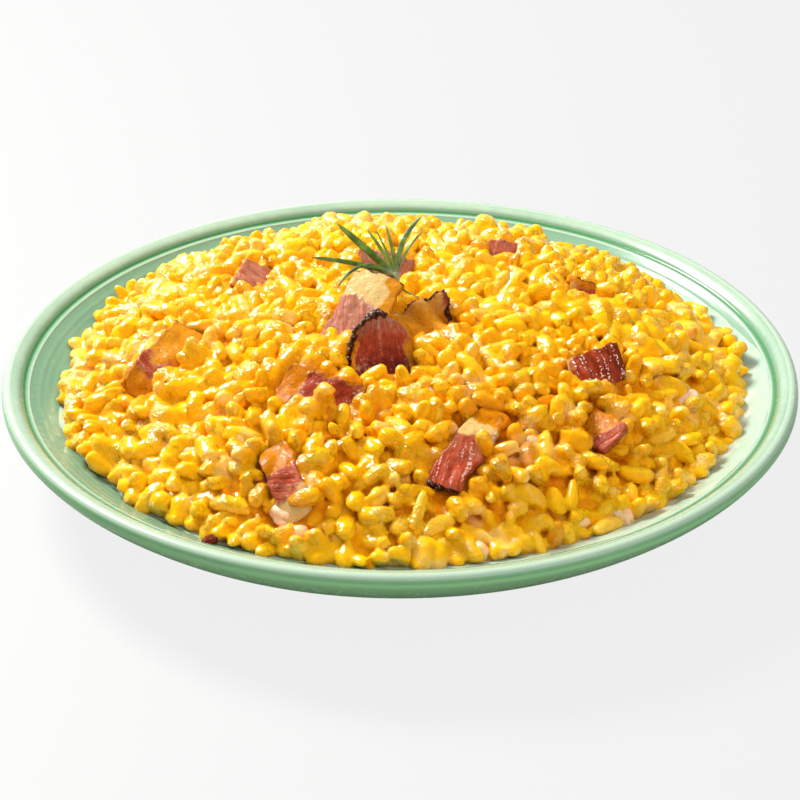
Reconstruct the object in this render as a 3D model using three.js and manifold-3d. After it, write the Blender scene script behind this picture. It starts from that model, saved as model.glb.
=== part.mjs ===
// A heaped serving of pumpkin risotto with bacon and a sprig of rosemary, in the ring-moulded bowl
// plate that it is eaten from. Millimetres, +Z up, origin at the centre of the foot's resting face.
import * as THREE from "three";
import { mergeVertices } from "three/addons/utils/BufferGeometryUtils.js";
import Module from "manifold-3d";

const wasm = await Module();
wasm.setup();

const CLEARANCE = 0.35; // gap between pieces that touch

// Bowl plate
const RIM_RADIUS = 115;
const PLATE_HEIGHT = 28;
const GROOVE_RADIUS = 108.2; // the groove that parts the rim band from the slope of the well
const GROOVE_HEIGHT = 25.6;
const GROOVE_WIDTH = 1.2;
const CREST_RADIUS = 113;
const FLOOR_RADIUS = 62;
const FLOOR_HEIGHT = 8;
const SLOPE_POWER = 1.6; // how hollow the well's slope is
const FOOT_INNER = 60.5;
const FOOT_OUTER = 64.5;
const FOOT_HEIGHT = 3;
const SHOULDER_RADIUS = 106; // where the rim's steep outer wall meets the shallow underside
const SHOULDER_HEIGHT = 16;
const WALL_TOP = 25;
const PLATE_SEGMENTS = 60;

// Heap of rice
const HEAP_RADIUS = 98.3;
const HEAP_SHIFT = 0.7; // how far the food lies to the right of the bowl's middle
const HEAP_CREST = 46;
const HEAP_EDGE = 23; // height of the food's top at its outline
const HEAP_POWER = 3.3; // how flat the dome is on top
const OUTLINE_WAVES = [
  { out: 0.9, count: 3, phase: 0.6 },
  { out: 0.7, count: 7, phase: 2.1 },
  { out: 0.4, count: 13, phase: 0 },
];
const MOUNDS = [
  { at: [-58, 50], rise: 3, reach: 26 },
  { at: [-12, 72], rise: 1.6, reach: 18 },
  { at: [14, 78], rise: -2, reach: 13 },
  { at: [30, 66], rise: 1, reach: 14 },
  { at: [74, 38], rise: -1.6, reach: 18 },
  { at: [-20, -82], rise: 1.2, reach: 20 },
  { at: [60, -66], rise: 1, reach: 18 },
];
const LUMP_RISE = 0.6; // lumps of a few grains each
const LUMP_LENGTH = 6.5;
const HEAP_SEGMENTS = 60;
const HEAP_RINGS = 13;
const BED_RINGS = 4;

// Bacon
const BACON_THICKNESS = 2.4;
const BACON_STEPS = 6; // facets along a piece
const BACON_ROWS = 3; // facets across it
const RIPPLES_ALONG = 5;
const RIPPLES_ACROSS = 2;

// Rosemary
const STEM_RADIUS = 0.9;
const STEM_TOP = new THREE.Vector3(-1.3, 4, 54.3);
const STEM_FOOT = new THREE.Vector3(-0.4, 3, 43);
const NEEDLE_WIDTH = 2.1;
const NEEDLE_THICKNESS = 1.2;
const NEEDLE_END_SHARE = 0.5; // a needle's width at its ends, as a share of its full width
const NEEDLE_ROOT_SHARE = 0.88; // how far up the stem the needles grow
const NEEDLE_STATIONS = 5;
const NEEDLE_SIDES = 6;
const STEM_SIDES = 8;

const GREEN_GLAZE = new THREE.MeshStandardMaterial({ color: 0xa5cca6, roughness: 0.2, metalness: 0 });
const RISOTTO_YELLOW = new THREE.MeshStandardMaterial({ color: 0xf0b41c, roughness: 0.35, metalness: 0 });
const BACON_RED = new THREE.MeshStandardMaterial({ color: 0xa8543a, roughness: 0.35, metalness: 0 });
const HERB_GREEN = new THREE.MeshStandardMaterial({ color: 0x4f7a3a, roughness: 0.5, metalness: 0 });

// ---------- solids ----------

function toManifold(geometry) {
  const bare = new THREE.BufferGeometry()
    .setAttribute("position", geometry.getAttribute("position").clone())
    .setIndex(geometry.index);
  const merged = mergeVertices(bare, 1e-4);
  return new wasm.Manifold(
    new wasm.Mesh({
      numProp: 3,
      vertProperties: merged.attributes.position.array,
      triVerts: new Uint32Array(merged.index.array),
    }),
  );
}

function fromManifold(solid) {
  const made = solid.getMesh();
  return new THREE.BufferGeometry()
    .setAttribute("position", new THREE.BufferAttribute(new Float32Array(made.vertProperties), 3))
    .setIndex(new THREE.BufferAttribute(new Uint32Array(made.triVerts), 1));
}

function meshOf(name, geometry, material) {
  geometry.computeVertexNormals();
  const mesh = new THREE.Mesh(geometry, material);
  mesh.name = name;
  return mesh;
}

// Geometry from a list of points and a list of triangles, each three point numbers.
function geometryFrom(points, triangles) {
  return new THREE.BufferGeometry()
    .setAttribute("position", new THREE.Float32BufferAttribute(points.flatMap((p) => p.toArray()), 3))
    .setIndex(triangles.flat());
}

// ---------- bowl plate ----------

// Height of the eating surface, inside the groove, at radius r.
function innerHeight(r) {
  const t = Math.max(0, (r - FLOOR_RADIUS) / (GROOVE_RADIUS - FLOOR_RADIUS));
  return FLOOR_HEIGHT + (GROOVE_HEIGHT - FLOOR_HEIGHT) * t ** SLOPE_POWER;
}

function plateProfile() {
  const outline = new THREE.Path();
  const slopeSteps = 8;
  const grooveStart = GROOVE_RADIUS - GROOVE_WIDTH / 2;
  const grooveEnd = GROOVE_RADIUS + GROOVE_WIDTH / 2;
  outline.moveTo(0, FOOT_HEIGHT);
  outline.lineTo(FOOT_INNER - 1, FOOT_HEIGHT);
  outline.lineTo(FOOT_INNER, 0);
  outline.lineTo(FOOT_OUTER, 0);
  outline.lineTo(FOOT_OUTER + 1.8, FOOT_HEIGHT);
  outline.quadraticCurveTo(92, 9, SHOULDER_RADIUS, SHOULDER_HEIGHT);
  outline.quadraticCurveTo(111.2, 20.3, RIM_RADIUS, WALL_TOP);
  outline.quadraticCurveTo(RIM_RADIUS, PLATE_HEIGHT, CREST_RADIUS, PLATE_HEIGHT);
  outline.quadraticCurveTo(CREST_RADIUS - 2.6, PLATE_HEIGHT - 0.3, grooveEnd, GROOVE_HEIGHT + 0.5);
  outline.lineTo(GROOVE_RADIUS, GROOVE_HEIGHT - 0.5);
  for (let i = 0; i <= slopeSteps; i++) {
    const r = THREE.MathUtils.lerp(grooveStart, FLOOR_RADIUS, i / slopeSteps);
    outline.lineTo(r, innerHeight(r));
  }
  outline.lineTo(0, FLOOR_HEIGHT);
  const curveSteps = 4;
  return outline.getPoints(curveSteps);
}

function bowlPlate() {
  return new THREE.LatheGeometry(plateProfile(), PLATE_SEGMENTS).rotateX(Math.PI / 2);
}

// ---------- heap of rice ----------

// The food's outline is uneven: its radius in the direction of angle a.
function heapOutline(a) {
  const waves = OUTLINE_WAVES.map(({ out, count, phase }) => out * Math.sin(count * a + phase));
  return HEAP_RADIUS + HEAP_SHIFT * Math.cos(a) + waves.reduce((sum, wave) => sum + wave);
}

// Height of the heap's uneven top at a share t of the way from its middle to its outline.
function heapTop(a, t) {
  const x = t * HEAP_RADIUS * Math.cos(a);
  const y = t * HEAP_RADIUS * Math.sin(a);
  const dome = HEAP_EDGE + (HEAP_CREST - HEAP_EDGE) * (1 - t ** HEAP_POWER);
  const wave = (length) => Math.sin(length / LUMP_LENGTH);
  const lumps = LUMP_RISE * (wave(x) * wave(y) + wave(x - y));
  const mounds = MOUNDS.map(({ at, rise, reach }) => {
    const away = Math.hypot(x - at[0], y - at[1]) / reach;
    return rise * Math.exp(-2 * away * away);
  });
  return dome + mounds.reduce((sum, mound) => sum + mound, lumps) * (1 - t ** 4);
}

// One closed surface: rings of the dome from its middle out, then rings of the bed back in.
function riceHeap() {
  const rings = [];
  for (let i = 1; i <= HEAP_RINGS; i++) {
    const t = Math.sqrt(i / HEAP_RINGS);
    rings.push((a) => [heapOutline(a) * t, heapTop(a, t)]);
  }
  for (let i = BED_RINGS; i >= 0; i--) {
    const t = THREE.MathUtils.lerp(FLOOR_RADIUS / HEAP_RADIUS, 1, i / BED_RINGS);
    rings.push((a) => [heapOutline(a) * t, innerHeight(heapOutline(a) * t) + CLEARANCE]);
  }
  const points = [new THREE.Vector3(0, 0, heapTop(0, 0))];
  for (const ring of rings) {
    for (let k = 0; k < HEAP_SEGMENTS; k++) {
      const a = (k / HEAP_SEGMENTS) * 2 * Math.PI;
      const [r, z] = ring(a);
      points.push(new THREE.Vector3(r * Math.cos(a), r * Math.sin(a), z));
    }
  }
  points.push(new THREE.Vector3(0, 0, FLOOR_HEIGHT + CLEARANCE));
  const at = (ring, k) => 1 + ring * HEAP_SEGMENTS + (k % HEAP_SEGMENTS);
  const last = rings.length - 1;
  const triangles = [];
  for (let k = 0; k < HEAP_SEGMENTS; k++) {
    triangles.push([0, at(0, k), at(0, k + 1)]);
    for (let ring = 0; ring < last; ring++) {
      triangles.push([at(ring, k), at(ring + 1, k), at(ring + 1, k + 1)]);
      triangles.push([at(ring, k), at(ring + 1, k + 1), at(ring, k + 1)]);
    }
    triangles.push([points.length - 1, at(last, k + 1), at(last, k)]);
  }
  return geometryFrom(points, triangles);
}

// ---------- bacon ----------

// A cut of bacon: a slab that bends along its length and cups across its width, in degrees, with
// a rippled surface. It lies in the XY plane, its length along X, and grow widens it all round.
function baconSlab({ length, width, bend = 0, cup = 0, ripple = 0 }, grow = 0) {
  const half = BACON_THICKNESS / 2 + grow;
  const bendRadius = bend ? length / THREE.MathUtils.degToRad(bend) : 0;
  const cupRadius = cup ? width / THREE.MathUtils.degToRad(cup) : 0;
  const arc = (s, radius) => {
    if (!radius) return [s, 0];
    return [radius * Math.sin(s / radius), radius * (Math.cos(s / radius) - 1)];
  };
  const surface = (u, v) => {
    const [x, dropAlong] = arc(u * (length / 2 + grow), bendRadius);
    const [y, dropAcross] = arc(v * (width / 2 + grow), cupRadius);
    const wave = ripple * Math.sin(RIPPLES_ALONG * u + RIPPLES_ACROSS * v);
    return new THREE.Vector3(x, y, dropAlong + dropAcross + wave);
  };
  const normal = (u, v) => {
    const step = 0.01;
    const along = surface(u + step, v).sub(surface(u - step, v));
    const across = surface(u, v + step).sub(surface(u, v - step));
    return along.cross(across).normalize();
  };
  const points = [];
  for (const side of [1, -1]) {
    for (let i = 0; i <= BACON_STEPS; i++) {
      for (let j = 0; j <= BACON_ROWS; j++) {
        const u = (2 * i) / BACON_STEPS - 1;
        const v = (2 * j) / BACON_ROWS - 1;
        points.push(surface(u, v).addScaledVector(normal(u, v), side * half));
      }
    }
  }
  return geometryFrom(points, slabTriangles(BACON_STEPS, BACON_ROWS));
}

// Triangles of a slab whose points are an upper grid and then a lower one, steps by rows facets each.
function slabTriangles(steps, rows) {
  const lower = (steps + 1) * (rows + 1);
  const at = (i, j) => i * (rows + 1) + j;
  const triangles = [];
  const quad = (a, b, c, d) => triangles.push([a, b, c], [a, c, d]);
  for (let i = 0; i < steps; i++) {
    for (let j = 0; j < rows; j++) {
      quad(at(i, j), at(i + 1, j), at(i + 1, j + 1), at(i, j + 1));
      quad(lower + at(i, j), lower + at(i, j + 1), lower + at(i + 1, j + 1), lower + at(i + 1, j));
    }
    quad(at(i, 0), lower + at(i, 0), lower + at(i + 1, 0), at(i + 1, 0));
    quad(at(i + 1, rows), lower + at(i + 1, rows), lower + at(i, rows), at(i, rows));
  }
  for (let j = 0; j < rows; j++) {
    quad(at(0, j + 1), lower + at(0, j + 1), lower + at(0, j), at(0, j));
    quad(at(steps, j), lower + at(steps, j), lower + at(steps, j + 1), at(steps, j + 1));
  }
  return triangles;
}

// Where each piece lies. at is its middle; heading is the way its length points, seen from above,
// pitch lifts that end, and roll turns the piece about its length, all in degrees.
const BACON = {
  bacon_fat_slab: {
    at: [-10.4, -14.2, 49.2], heading: 59, pitch: 33, roll: 4,
    length: 26, width: 14, cup: 14,
  },
  bacon_charred_curl: {
    at: [-6.4, -32.7, 49.8], heading: 92, pitch: 52,
    length: 18, width: 20, bend: -20, cup: 96,
  },
  bacon_crumpled: {
    at: [7.6, -11.9, 48], heading: 12, pitch: 4, roll: 24,
    length: 17, width: 10.5, bend: 30, ripple: 0.8,
  },
  bacon_behind_sprig: {
    at: [-2.2, 25.8, 46.2], heading: 4, pitch: 2, roll: 58,
    length: 16, width: 10, bend: 24,
  },
  bacon_back_left: {
    at: [-44.4, 22.5, 43.7], heading: 48, pitch: 12, roll: 22,
    length: 18, width: 10, bend: 20,
  },
  bacon_left: {
    at: [-67.4, -20, 39.3], heading: 66, pitch: 18, roll: -14,
    length: 31, width: 11.5, bend: 36,
  },
  bacon_middle_left: {
    at: [-21.2, -45.9, 43.8], heading: -6, roll: 34,
    length: 24, width: 14, bend: 28, cup: -20,
  },
  bacon_front_left: {
    at: [-29.6, -76.5, 34], heading: 108, pitch: 20, roll: 6,
    length: 27, width: 10.5, bend: 34,
  },
  bacon_front_middle: {
    at: [17.8, -68, 38.9], heading: 59, pitch: 14, roll: -8,
    length: 32, width: 10, bend: 30,
  },
  bacon_right: {
    at: [54.2, -31.5, 42], heading: 14, pitch: -4, roll: 40,
    length: 19, width: 12.5, bend: 26, ripple: 0.4,
  },
  bacon_front_right: {
    at: [53.9, -55.3, 36.7], heading: -38, roll: 26,
    length: 13, width: 10.5, cup: 20,
  },
  bacon_back_right: {
    at: [56.2, 15.8, 42.5], heading: -24, pitch: -6, roll: 54,
    length: 13, width: 9.5, bend: 22,
  },
  bacon_back: {
    at: [31.4, 43, 43.6], heading: -14, pitch: -3, roll: 50,
    length: 12.5, width: 9, bend: 20,
  },
};

function baconPlace({ at, heading, pitch = 0, roll = 0 }) {
  const turn = new THREE.Euler(
    THREE.MathUtils.degToRad(roll),
    THREE.MathUtils.degToRad(-pitch),
    THREE.MathUtils.degToRad(heading),
    "ZYX",
  );
  return new THREE.Matrix4().makeRotationFromEuler(turn).setPosition(...at);
}

// ---------- rosemary ----------

// Each needle leaves the stem, passes through its middle point and ends at its tip.
const NEEDLES = [
  { through: [-9.5, 5.5, 61], tip: [-18.6, 8, 68.3] },
  { through: [-13, 4.5, 58.2], tip: [-25.3, 2.5, 61] },
  { through: [-10.5, 1, 61.2], tip: [-19, -5, 57.2] },
  { through: [-5.2, 8.4, 59.6], tip: [-9.6, 12, 64.4] },
  { through: [-3.8, 5.2, 60.6], tip: [-7, 6, 67.1] },
  { through: [-2.2, 7, 60.8], tip: [-4.3, 9, 67.6] },
  { through: [1, 6.2, 63.6], tip: [6.4, 10, 69.8] },
  { through: [2, 4.2, 61.4], tip: [6.8, 4, 67.6] },
  { through: [2.6, 3.6, 52.6], tip: [7.4, 1.6, 50] },
];

// A closed tube along a curve. radii(t) gives its half width and half thickness at a share t of it.
function taperedTube(curve, stations, sides, radii) {
  const frames = curve.computeFrenetFrames(stations, false);
  const points = [];
  for (let i = 0; i <= stations; i++) {
    const [halfWidth, halfThickness] = radii(i / stations);
    for (let k = 0; k < sides; k++) {
      const a = (k / sides) * 2 * Math.PI;
      points.push(
        curve
          .getPointAt(i / stations)
          .addScaledVector(frames.binormals[i], halfWidth * Math.cos(a))
          .addScaledVector(frames.normals[i], halfThickness * Math.sin(a)),
      );
    }
  }
  const at = (i, k) => i * sides + (k % sides);
  const triangles = [];
  for (let k = 0; k < sides; k++) {
    for (let i = 0; i < stations; i++) {
      triangles.push([at(i, k), at(i + 1, k + 1), at(i, k + 1)]);
      triangles.push([at(i, k), at(i + 1, k), at(i + 1, k + 1)]);
    }
  }
  for (let k = 1; k < sides - 1; k++) {
    triangles.push([at(0, 0), at(0, k), at(0, k + 1)]);
    triangles.push([at(stations, 0), at(stations, k + 1), at(stations, k)]);
  }
  return geometryFrom(points, triangles);
}

function outward(solid) {
  if (solid.volume() < 0) throw new Error("a tube is inside out");
  return solid;
}

function rosemaryStem(grow = 0) {
  const curve = new THREE.LineCurve3(STEM_FOOT, STEM_TOP);
  const radius = STEM_RADIUS + grow;
  return outward(toManifold(taperedTube(curve, 2, STEM_SIDES, () => [radius, radius])));
}

function rosemaryNeedle({ through, tip }) {
  const root = new THREE.Vector3().lerpVectors(STEM_FOOT, STEM_TOP, NEEDLE_ROOT_SHARE);
  const middle = new THREE.Vector3(...through);
  const curve = new THREE.CatmullRomCurve3([root, middle, new THREE.Vector3(...tip)]);
  const fullness = (t) => THREE.MathUtils.lerp(NEEDLE_END_SHARE, 1, Math.sin(Math.PI * t));
  const radii = (t) => [(NEEDLE_WIDTH / 2) * fullness(t), (NEEDLE_THICKNESS / 2) * fullness(t)];
  return outward(toManifold(taperedTube(curve, NEEDLE_STATIONS, NEEDLE_SIDES, radii)));
}

function rosemarySprig() {
  return NEEDLES.reduce((sprig, needle) => sprig.add(rosemaryNeedle(needle)), rosemaryStem());
}

// ---------- the serving ----------

const serving = new THREE.Group();
serving.add(meshOf("plate", bowlPlate(), GREEN_GLAZE));

let heap = toManifold(riceHeap()).subtract(rosemaryStem(CLEARANCE));
for (const [name, cut] of Object.entries(BACON)) {
  const place = baconPlace(cut);
  heap = heap.subtract(toManifold(baconSlab(cut, CLEARANCE).applyMatrix4(place)));
  const piece = meshOf(name, baconSlab(cut), BACON_RED);
  piece.applyMatrix4(place);
  serving.add(piece);
}
serving.add(meshOf("risotto", fromManifold(heap), RISOTTO_YELLOW));
serving.add(meshOf("rosemary", fromManifold(rosemarySprig()), HERB_GREEN));

export default serving;
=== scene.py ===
"""Pumpkin risotto with bacon and rosemary, heaped in a ring-moulded bowl plate.

Each piece has an operator of its own, and its sizes and colours are properties of the scene. All sizes
are in metres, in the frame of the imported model: +Z up, -Y towards the eater.
"""

import math
from functools import lru_cache

import bmesh
import bpy
import numpy as np
from bpy.props import FloatProperty, FloatVectorProperty, IntProperty, PointerProperty
from bpy.types import Operator, Panel, PropertyGroup
from mathutils import Euler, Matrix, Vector, noise
from mathutils.bvhtree import BVHTree
from mathutils.kdtree import KDTree


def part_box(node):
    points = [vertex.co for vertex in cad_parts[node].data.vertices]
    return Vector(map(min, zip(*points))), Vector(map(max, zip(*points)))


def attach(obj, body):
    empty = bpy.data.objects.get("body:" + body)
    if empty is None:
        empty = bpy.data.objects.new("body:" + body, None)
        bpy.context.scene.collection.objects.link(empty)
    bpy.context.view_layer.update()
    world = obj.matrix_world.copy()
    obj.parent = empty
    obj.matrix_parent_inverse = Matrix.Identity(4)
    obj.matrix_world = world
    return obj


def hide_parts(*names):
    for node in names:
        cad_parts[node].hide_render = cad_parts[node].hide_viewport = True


bl_info = {
    "name": "Pumpkin Risotto",
    "version": (1, 0, 0),
    "blender": (4, 5, 0),
    "location": "3D View > Sidebar > Risotto",
    "description": "Makes a bowl plate of pumpkin risotto with bacon and rosemary",
    "category": "Add Mesh",
}

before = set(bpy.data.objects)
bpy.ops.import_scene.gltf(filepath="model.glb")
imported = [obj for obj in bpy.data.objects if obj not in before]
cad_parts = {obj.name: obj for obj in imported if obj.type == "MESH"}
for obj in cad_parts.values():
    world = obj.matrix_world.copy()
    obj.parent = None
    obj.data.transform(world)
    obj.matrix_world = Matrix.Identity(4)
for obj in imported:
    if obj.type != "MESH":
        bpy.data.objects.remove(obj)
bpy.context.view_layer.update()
PLATE_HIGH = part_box("plate")[1]
HEAP_LOW, HEAP_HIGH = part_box("risotto")
RIM_RADIUS = PLATE_HIGH.x
RIM_HEIGHT = PLATE_HIGH.z


# ---------- settings ----------


def length(name, description, default):
    """A property that holds a size in metres."""
    return FloatProperty(
        name=name, description=description, default=default, min=0, unit="LENGTH", precision=5
    )


def colour(name, description, default):
    """A property that holds a linear colour."""
    return FloatVectorProperty(
        name=name, description=description, default=default, size=3, min=0, max=1, subtype="COLOR"
    )


def share(name, description, default, low=0.0, high=1.0):
    """A property that holds a plain number."""
    return FloatProperty(name=name, description=description, default=default, min=low, max=high)


def angle(name, description, degrees):
    """A property that holds an angle, given in degrees."""
    return FloatProperty(name=name, description=description, default=math.radians(degrees), subtype="ANGLE")


class BowlSettings(PropertyGroup):
    """Sizes and glaze of the bowl plate."""

    segments: IntProperty(name="Segments", description="Faces round the bowl", default=256, min=32)
    ring_height: length("Ring height", "How far the first moulded ring stands up from the slope", 0.00011)
    groove_depth: length("Groove depth", "Depth of the groove inside the rim band", 0.00022)
    glaze: colour("Glaze", "Colour of the glaze at its usual thickness", (0.176, 0.325, 0.216))
    glaze_pooled: colour("Pooled glaze", "Colour where the glaze lies thick", (0.055, 0.225, 0.078))
    # The wall's glaze is a lighter, greener copy of the inside glaze: painted light that stands in for light
    # on the wall.
    glaze_outside: colour("Outside glaze", "Colour of the glaze on the wall", (0.24, 0.50, 0.24))
    glaze_thin: colour("Thin glaze", "Colour where the glaze breaks over an edge", (0.40, 0.53, 0.41))


class RiceSettings(PropertyGroup):
    """Sizes and colours of the grains and their sauce."""

    grain_length: length("Grain length", "Length of a cooked grain", 0.0104)
    grain_width: length("Grain width", "Thickness of a cooked grain", 0.0045)
    spacing: length("Spacing", "Distance between grains of a layer before they settle", 0.0061)
    layer_depth: length("Layer depth", "How far one layer lies below the next", 0.0034)
    sauce_voxel: length("Sauce detail", "Size of the finest relief in the sauce", 0.0006)
    sauce_cover: length("Sauce cover", "How far the sauce rises over the grains in patches", 0.0010)
    pool_depth: length("Pool depth", "How far the sauce lies under the heap's top where it pools", 0.0021)
    gap_depth: length("Gap depth", "How far the sauce lies under the heap's top elsewhere", 0.0040)
    crumb_height: length("Crumb height", "Height of the crumbs of pumpkin and cheese in the sauce", 0.0009)
    seed: IntProperty(name="Seed", description="Seed of every random choice in the rice", default=7)
    golden: colour("Golden", "Grain in pumpkin sauce", (0.94, 0.515, 0.004))
    # Amber is partly the colour of thick sauce and partly painted shade: the sauce down in the crevices and
    # the lower parts of the grains are coloured towards it.
    amber_and_painted_shade: colour("Amber", "Thick sauce deep between the grains", (0.74, 0.235, 0.002))
    cream: colour("Cream", "Starch and cheese that the pumpkin has not dyed", (0.97, 0.77, 0.40))


class BaconSettings(PropertyGroup):
    """Sizes and colours of the bacon."""

    thickness: length("Thickness", "Thickness of a slice", 0.0019)
    round_edge: length("Round edge", "How far in from the rim a slice starts to thin", 0.0007)
    mesh_step: length("Mesh step", "Distance between the points of a slice", 0.00042)
    pale_fat: colour("Pale fat", "Fat that is only just cooked", (0.66, 0.455, 0.175))
    gold_fat: colour("Golden fat", "Rendered fat", (0.58, 0.23, 0.010))
    crisp_fat: colour("Crisp fat", "Fat fried crisp", (0.52, 0.165, 0.001))
    pink_lean: colour("Pink lean", "Lean meat that is only just cooked", (0.42, 0.165, 0.10))
    red_lean: colour("Red lean", "Lean meat that is cooked through", (0.39, 0.056, 0.020))
    dark_lean: colour("Dark lean", "Lean meat fried dark", (0.12, 0.013, 0.009))
    char: colour("Char", "Burnt edges", (0.030, 0.010, 0.007))
    # Colour of the painted highlights: white dots on the lean that stand in for light caught by beads of
    # grease.
    painted_glint: colour("Glint", "Beads of grease that catch the light", (1.0, 0.93, 0.82))
    bubble: length("Bubble", "Width of the largest burnt bubble", 0.0013)


class RosemarySettings(PropertyGroup):
    """Sizes and colours of the sprig."""

    needle_width: length("Needle width", "Width of a needle at its middle", 0.0018)
    stem_width: length("Stem width", "Width of the stem", 0.0018)
    fresh: colour("Fresh needle", "Upper side of a fresh needle", (0.28, 0.42, 0.04))
    leaf: colour("Needle", "Upper side of a needle", (0.09, 0.185, 0.03))
    old: colour("Old needle", "Upper side of an old needle", (0.21, 0.33, 0.11))
    underside: colour("Underside", "Felted underside of a needle", (0.28, 0.42, 0.28))
    dry: colour("Dry tip", "Very tip of a needle", (0.16, 0.10, 0.04))
    wood: colour("Stem", "Pale young stem", (0.42, 0.50, 0.30))


class TrimmingSettings(PropertyGroup):
    """Sizes and colours of the small things on the rice."""

    flecks: IntProperty(name="Pepper flecks", description="Number of flecks of pepper", default=90)
    fleck_width: length("Fleck width", "Width of a fleck of pepper", 0.00055)
    film_width: length("Film width", "How far the thin sauce runs out on the bowl", 0.0026)
    pepper: colour("Pepper", "Ground black pepper", (0.03, 0.015, 0.008))
    soft_fat: colour("Soft fat", "Lumps of soft fat among the rice", (0.95, 0.63, 0.43))
    film: colour("Thin sauce", "Watery starch at the edge of the food", (0.67, 0.76, 0.66))


class StageSettings(PropertyGroup):
    """Floor, lights and camera."""

    floor: colour("Floor", "Pale floor", (0.004, 0.004, 0.0041))
    glow: share("Glow", "Brightness of the light that shows through the floor", 0.845)
    bounce: share("Bounce", "How much light the floor throws back up", 0.4)
    key_power: share("Key light", "Power of the light behind the left of the dish, in watts", 27.5, 0, 500)
    fill_power: share("Fill light", "Power of the soft light in front, in watts", 14.5, 0, 500)
    pane_power: share("Pane", "Power of the broad low light behind, in watts", 2.5, 0, 500)
    sky: share("Sky", "Strength of the even light from all round", 0.09, 0, 5)
    dome_power: share("Dome", "Power of the large soft light overhead, in watts", 7, 0, 500)
    distance: length("Distance", "From the camera to the middle of the rim", 0.65)
    elevation: angle("Elevation", "Height of the camera above the rim", 28.19)
    dip: angle("Dip", "How far below the middle of the rim the camera aims", 1.067)
    lens: FloatProperty(name="Lens", description="Focal length", default=100.3, unit="CAMERA")


# ---------- nodes ----------


def add(tree, kind, values=None, **settings):
    """Adds a node. values maps an input's name or number to a plain value or to another node's output."""
    made = tree.nodes.new(kind)
    for setting, value in settings.items():
        setattr(made, setting, value)
    for key, value in (values or {}).items():
        socket = made.inputs[key]
        if isinstance(value, bpy.types.NodeSocket):
            tree.links.new(value, socket)
        elif isinstance(value, bpy.types.Node):
            tree.links.new(value.outputs[0], socket)
        else:
            socket.default_value = value
    return made


def maths(tree, kind, *values):
    """Output of a Math node of that kind."""
    return add(tree, "ShaderNodeMath", dict(enumerate(values)), operation=kind).outputs[0]


def mixed(tree, factor, one, other, blend="MIX"):
    """Output of a colour mix of one and other by factor."""
    node = add(tree, "ShaderNodeMix", {0: factor, 6: one, 7: other}, data_type="RGBA", blend_type=blend)
    return node.outputs[2]


def ramp(tree, factor, *stops, smooth=True):
    """Output of a colour ramp with stops of (place, grey level or colour)."""
    node = add(tree, "ShaderNodeValToRGB", {0: factor})
    node.color_ramp.interpolation = "EASE" if smooth else "LINEAR"
    elements = node.color_ramp.elements
    while len(elements) < len(stops):
        elements.new(0.5)
    for element, (place, level) in zip(elements, stops):
        element.position = place
        element.color = (*level, 1) if isinstance(level, tuple) else (level, level, level, 1)
    return node.outputs[0]


def speckle(tree, coordinates, scale, detail=2.0, roughness=0.5, distortion=0.0):
    """Output of a noise texture."""
    values = {"Vector": coordinates, "Scale": scale, "Detail": detail, "Roughness": roughness}
    values["Distortion"] = distortion
    return add(tree, "ShaderNodeTexNoise", values).outputs[0]


def object_place(tree):
    """Output of places in the object's own frame, in metres."""
    return add(tree, "ShaderNodeTexCoord").outputs["Object"]


def value_of(tree, name):
    """Output of an attribute that holds one number."""
    return add(tree, "ShaderNodeAttribute", attribute_name=name).outputs["Fac"]


def product(tree, *values):
    """All the values multiplied together."""
    result = values[0]
    for value in values[1:]:
        result = maths(tree, "MULTIPLY", result, value)
    return result


def opaque(rgb):
    """A colour property as a socket's value."""
    return (*rgb, 1.0)


def label_of(key):
    """A shader socket's own label from its name in lower case with underscores."""
    return key.replace("_", " ").title().replace("Ior", "IOR")


def new_material(name, **values):
    """A material with a Principled shader whose sockets hold values; gives (material, tree, shader)."""
    material = bpy.data.materials.new(name)
    material.use_nodes = True
    tree = material.node_tree
    shader = tree.nodes["Principled BSDF"]
    for key, value in values.items():
        shader.inputs[label_of(key)].default_value = value
    return material, tree, shader


def dress(tree, shader, **outputs):
    """Links outputs to a shader's sockets."""
    for key, output in outputs.items():
        tree.links.new(output, shader.inputs[label_of(key)])


def emboss(tree, shader, strength, distance, height, coat=False):
    """Gives a shader small relief, and its clear coat the same relief if coat is set."""
    values = {"Strength": strength, "Distance": distance, "Height": height}
    bump = add(tree, "ShaderNodeBump", values).outputs[0]
    dress(tree, shader, normal=bump)
    if coat:
        dress(tree, shader, coat_normal=bump)


def new_group(name, kind, inputs, outputs):
    """An empty node group with named sockets; gives (group, its input node, its output node)."""
    group = bpy.data.node_groups.new(name, kind)
    for direction, sockets in (("INPUT", inputs), ("OUTPUT", outputs)):
        for label, socket_type, *default in sockets:
            made = group.interface.new_socket(name=label, in_out=direction, socket_type=socket_type)
            if default:
                made.default_value = default[0]
    return group, group.nodes.new("NodeGroupInput"), group.nodes.new("NodeGroupOutput")


def geometry_group(name, *inputs):
    """An empty geometry group that takes geometry, those inputs and a material, and gives geometry."""
    geometry = ("Geometry", "NodeSocketGeometry")
    sockets = [geometry, *inputs, ("Material", "NodeSocketMaterial")]
    return new_group(name, "GeometryNodeTree", sockets, [geometry])


def stored(tree, name, kind="FLOAT"):
    """Output of an attribute that the points of the geometry hold."""
    return add(tree, "GeometryNodeInputNamedAttribute", {"Name": name}, data_type=kind).outputs["Attribute"]


def pushed_out(tree, geometry, distance):
    """Geometry moved out along its normals by a distance."""
    outward = {0: add(tree, "GeometryNodeInputNormal").outputs[0], "Scale": distance}
    offset = add(tree, "ShaderNodeVectorMath", outward, operation="SCALE")
    return add(tree, "GeometryNodeSetPosition", {"Geometry": geometry, "Offset": offset})


def give_back(tree, geometry, given, result):
    """Ends a geometry group: what it made, in the material that it was given."""
    values = {"Geometry": geometry, "Material": given.outputs["Material"]}
    tree.links.new(add(tree, "GeometryNodeSetMaterial", values).outputs[0], result.inputs[0])


# ---------- meshes ----------


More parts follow.
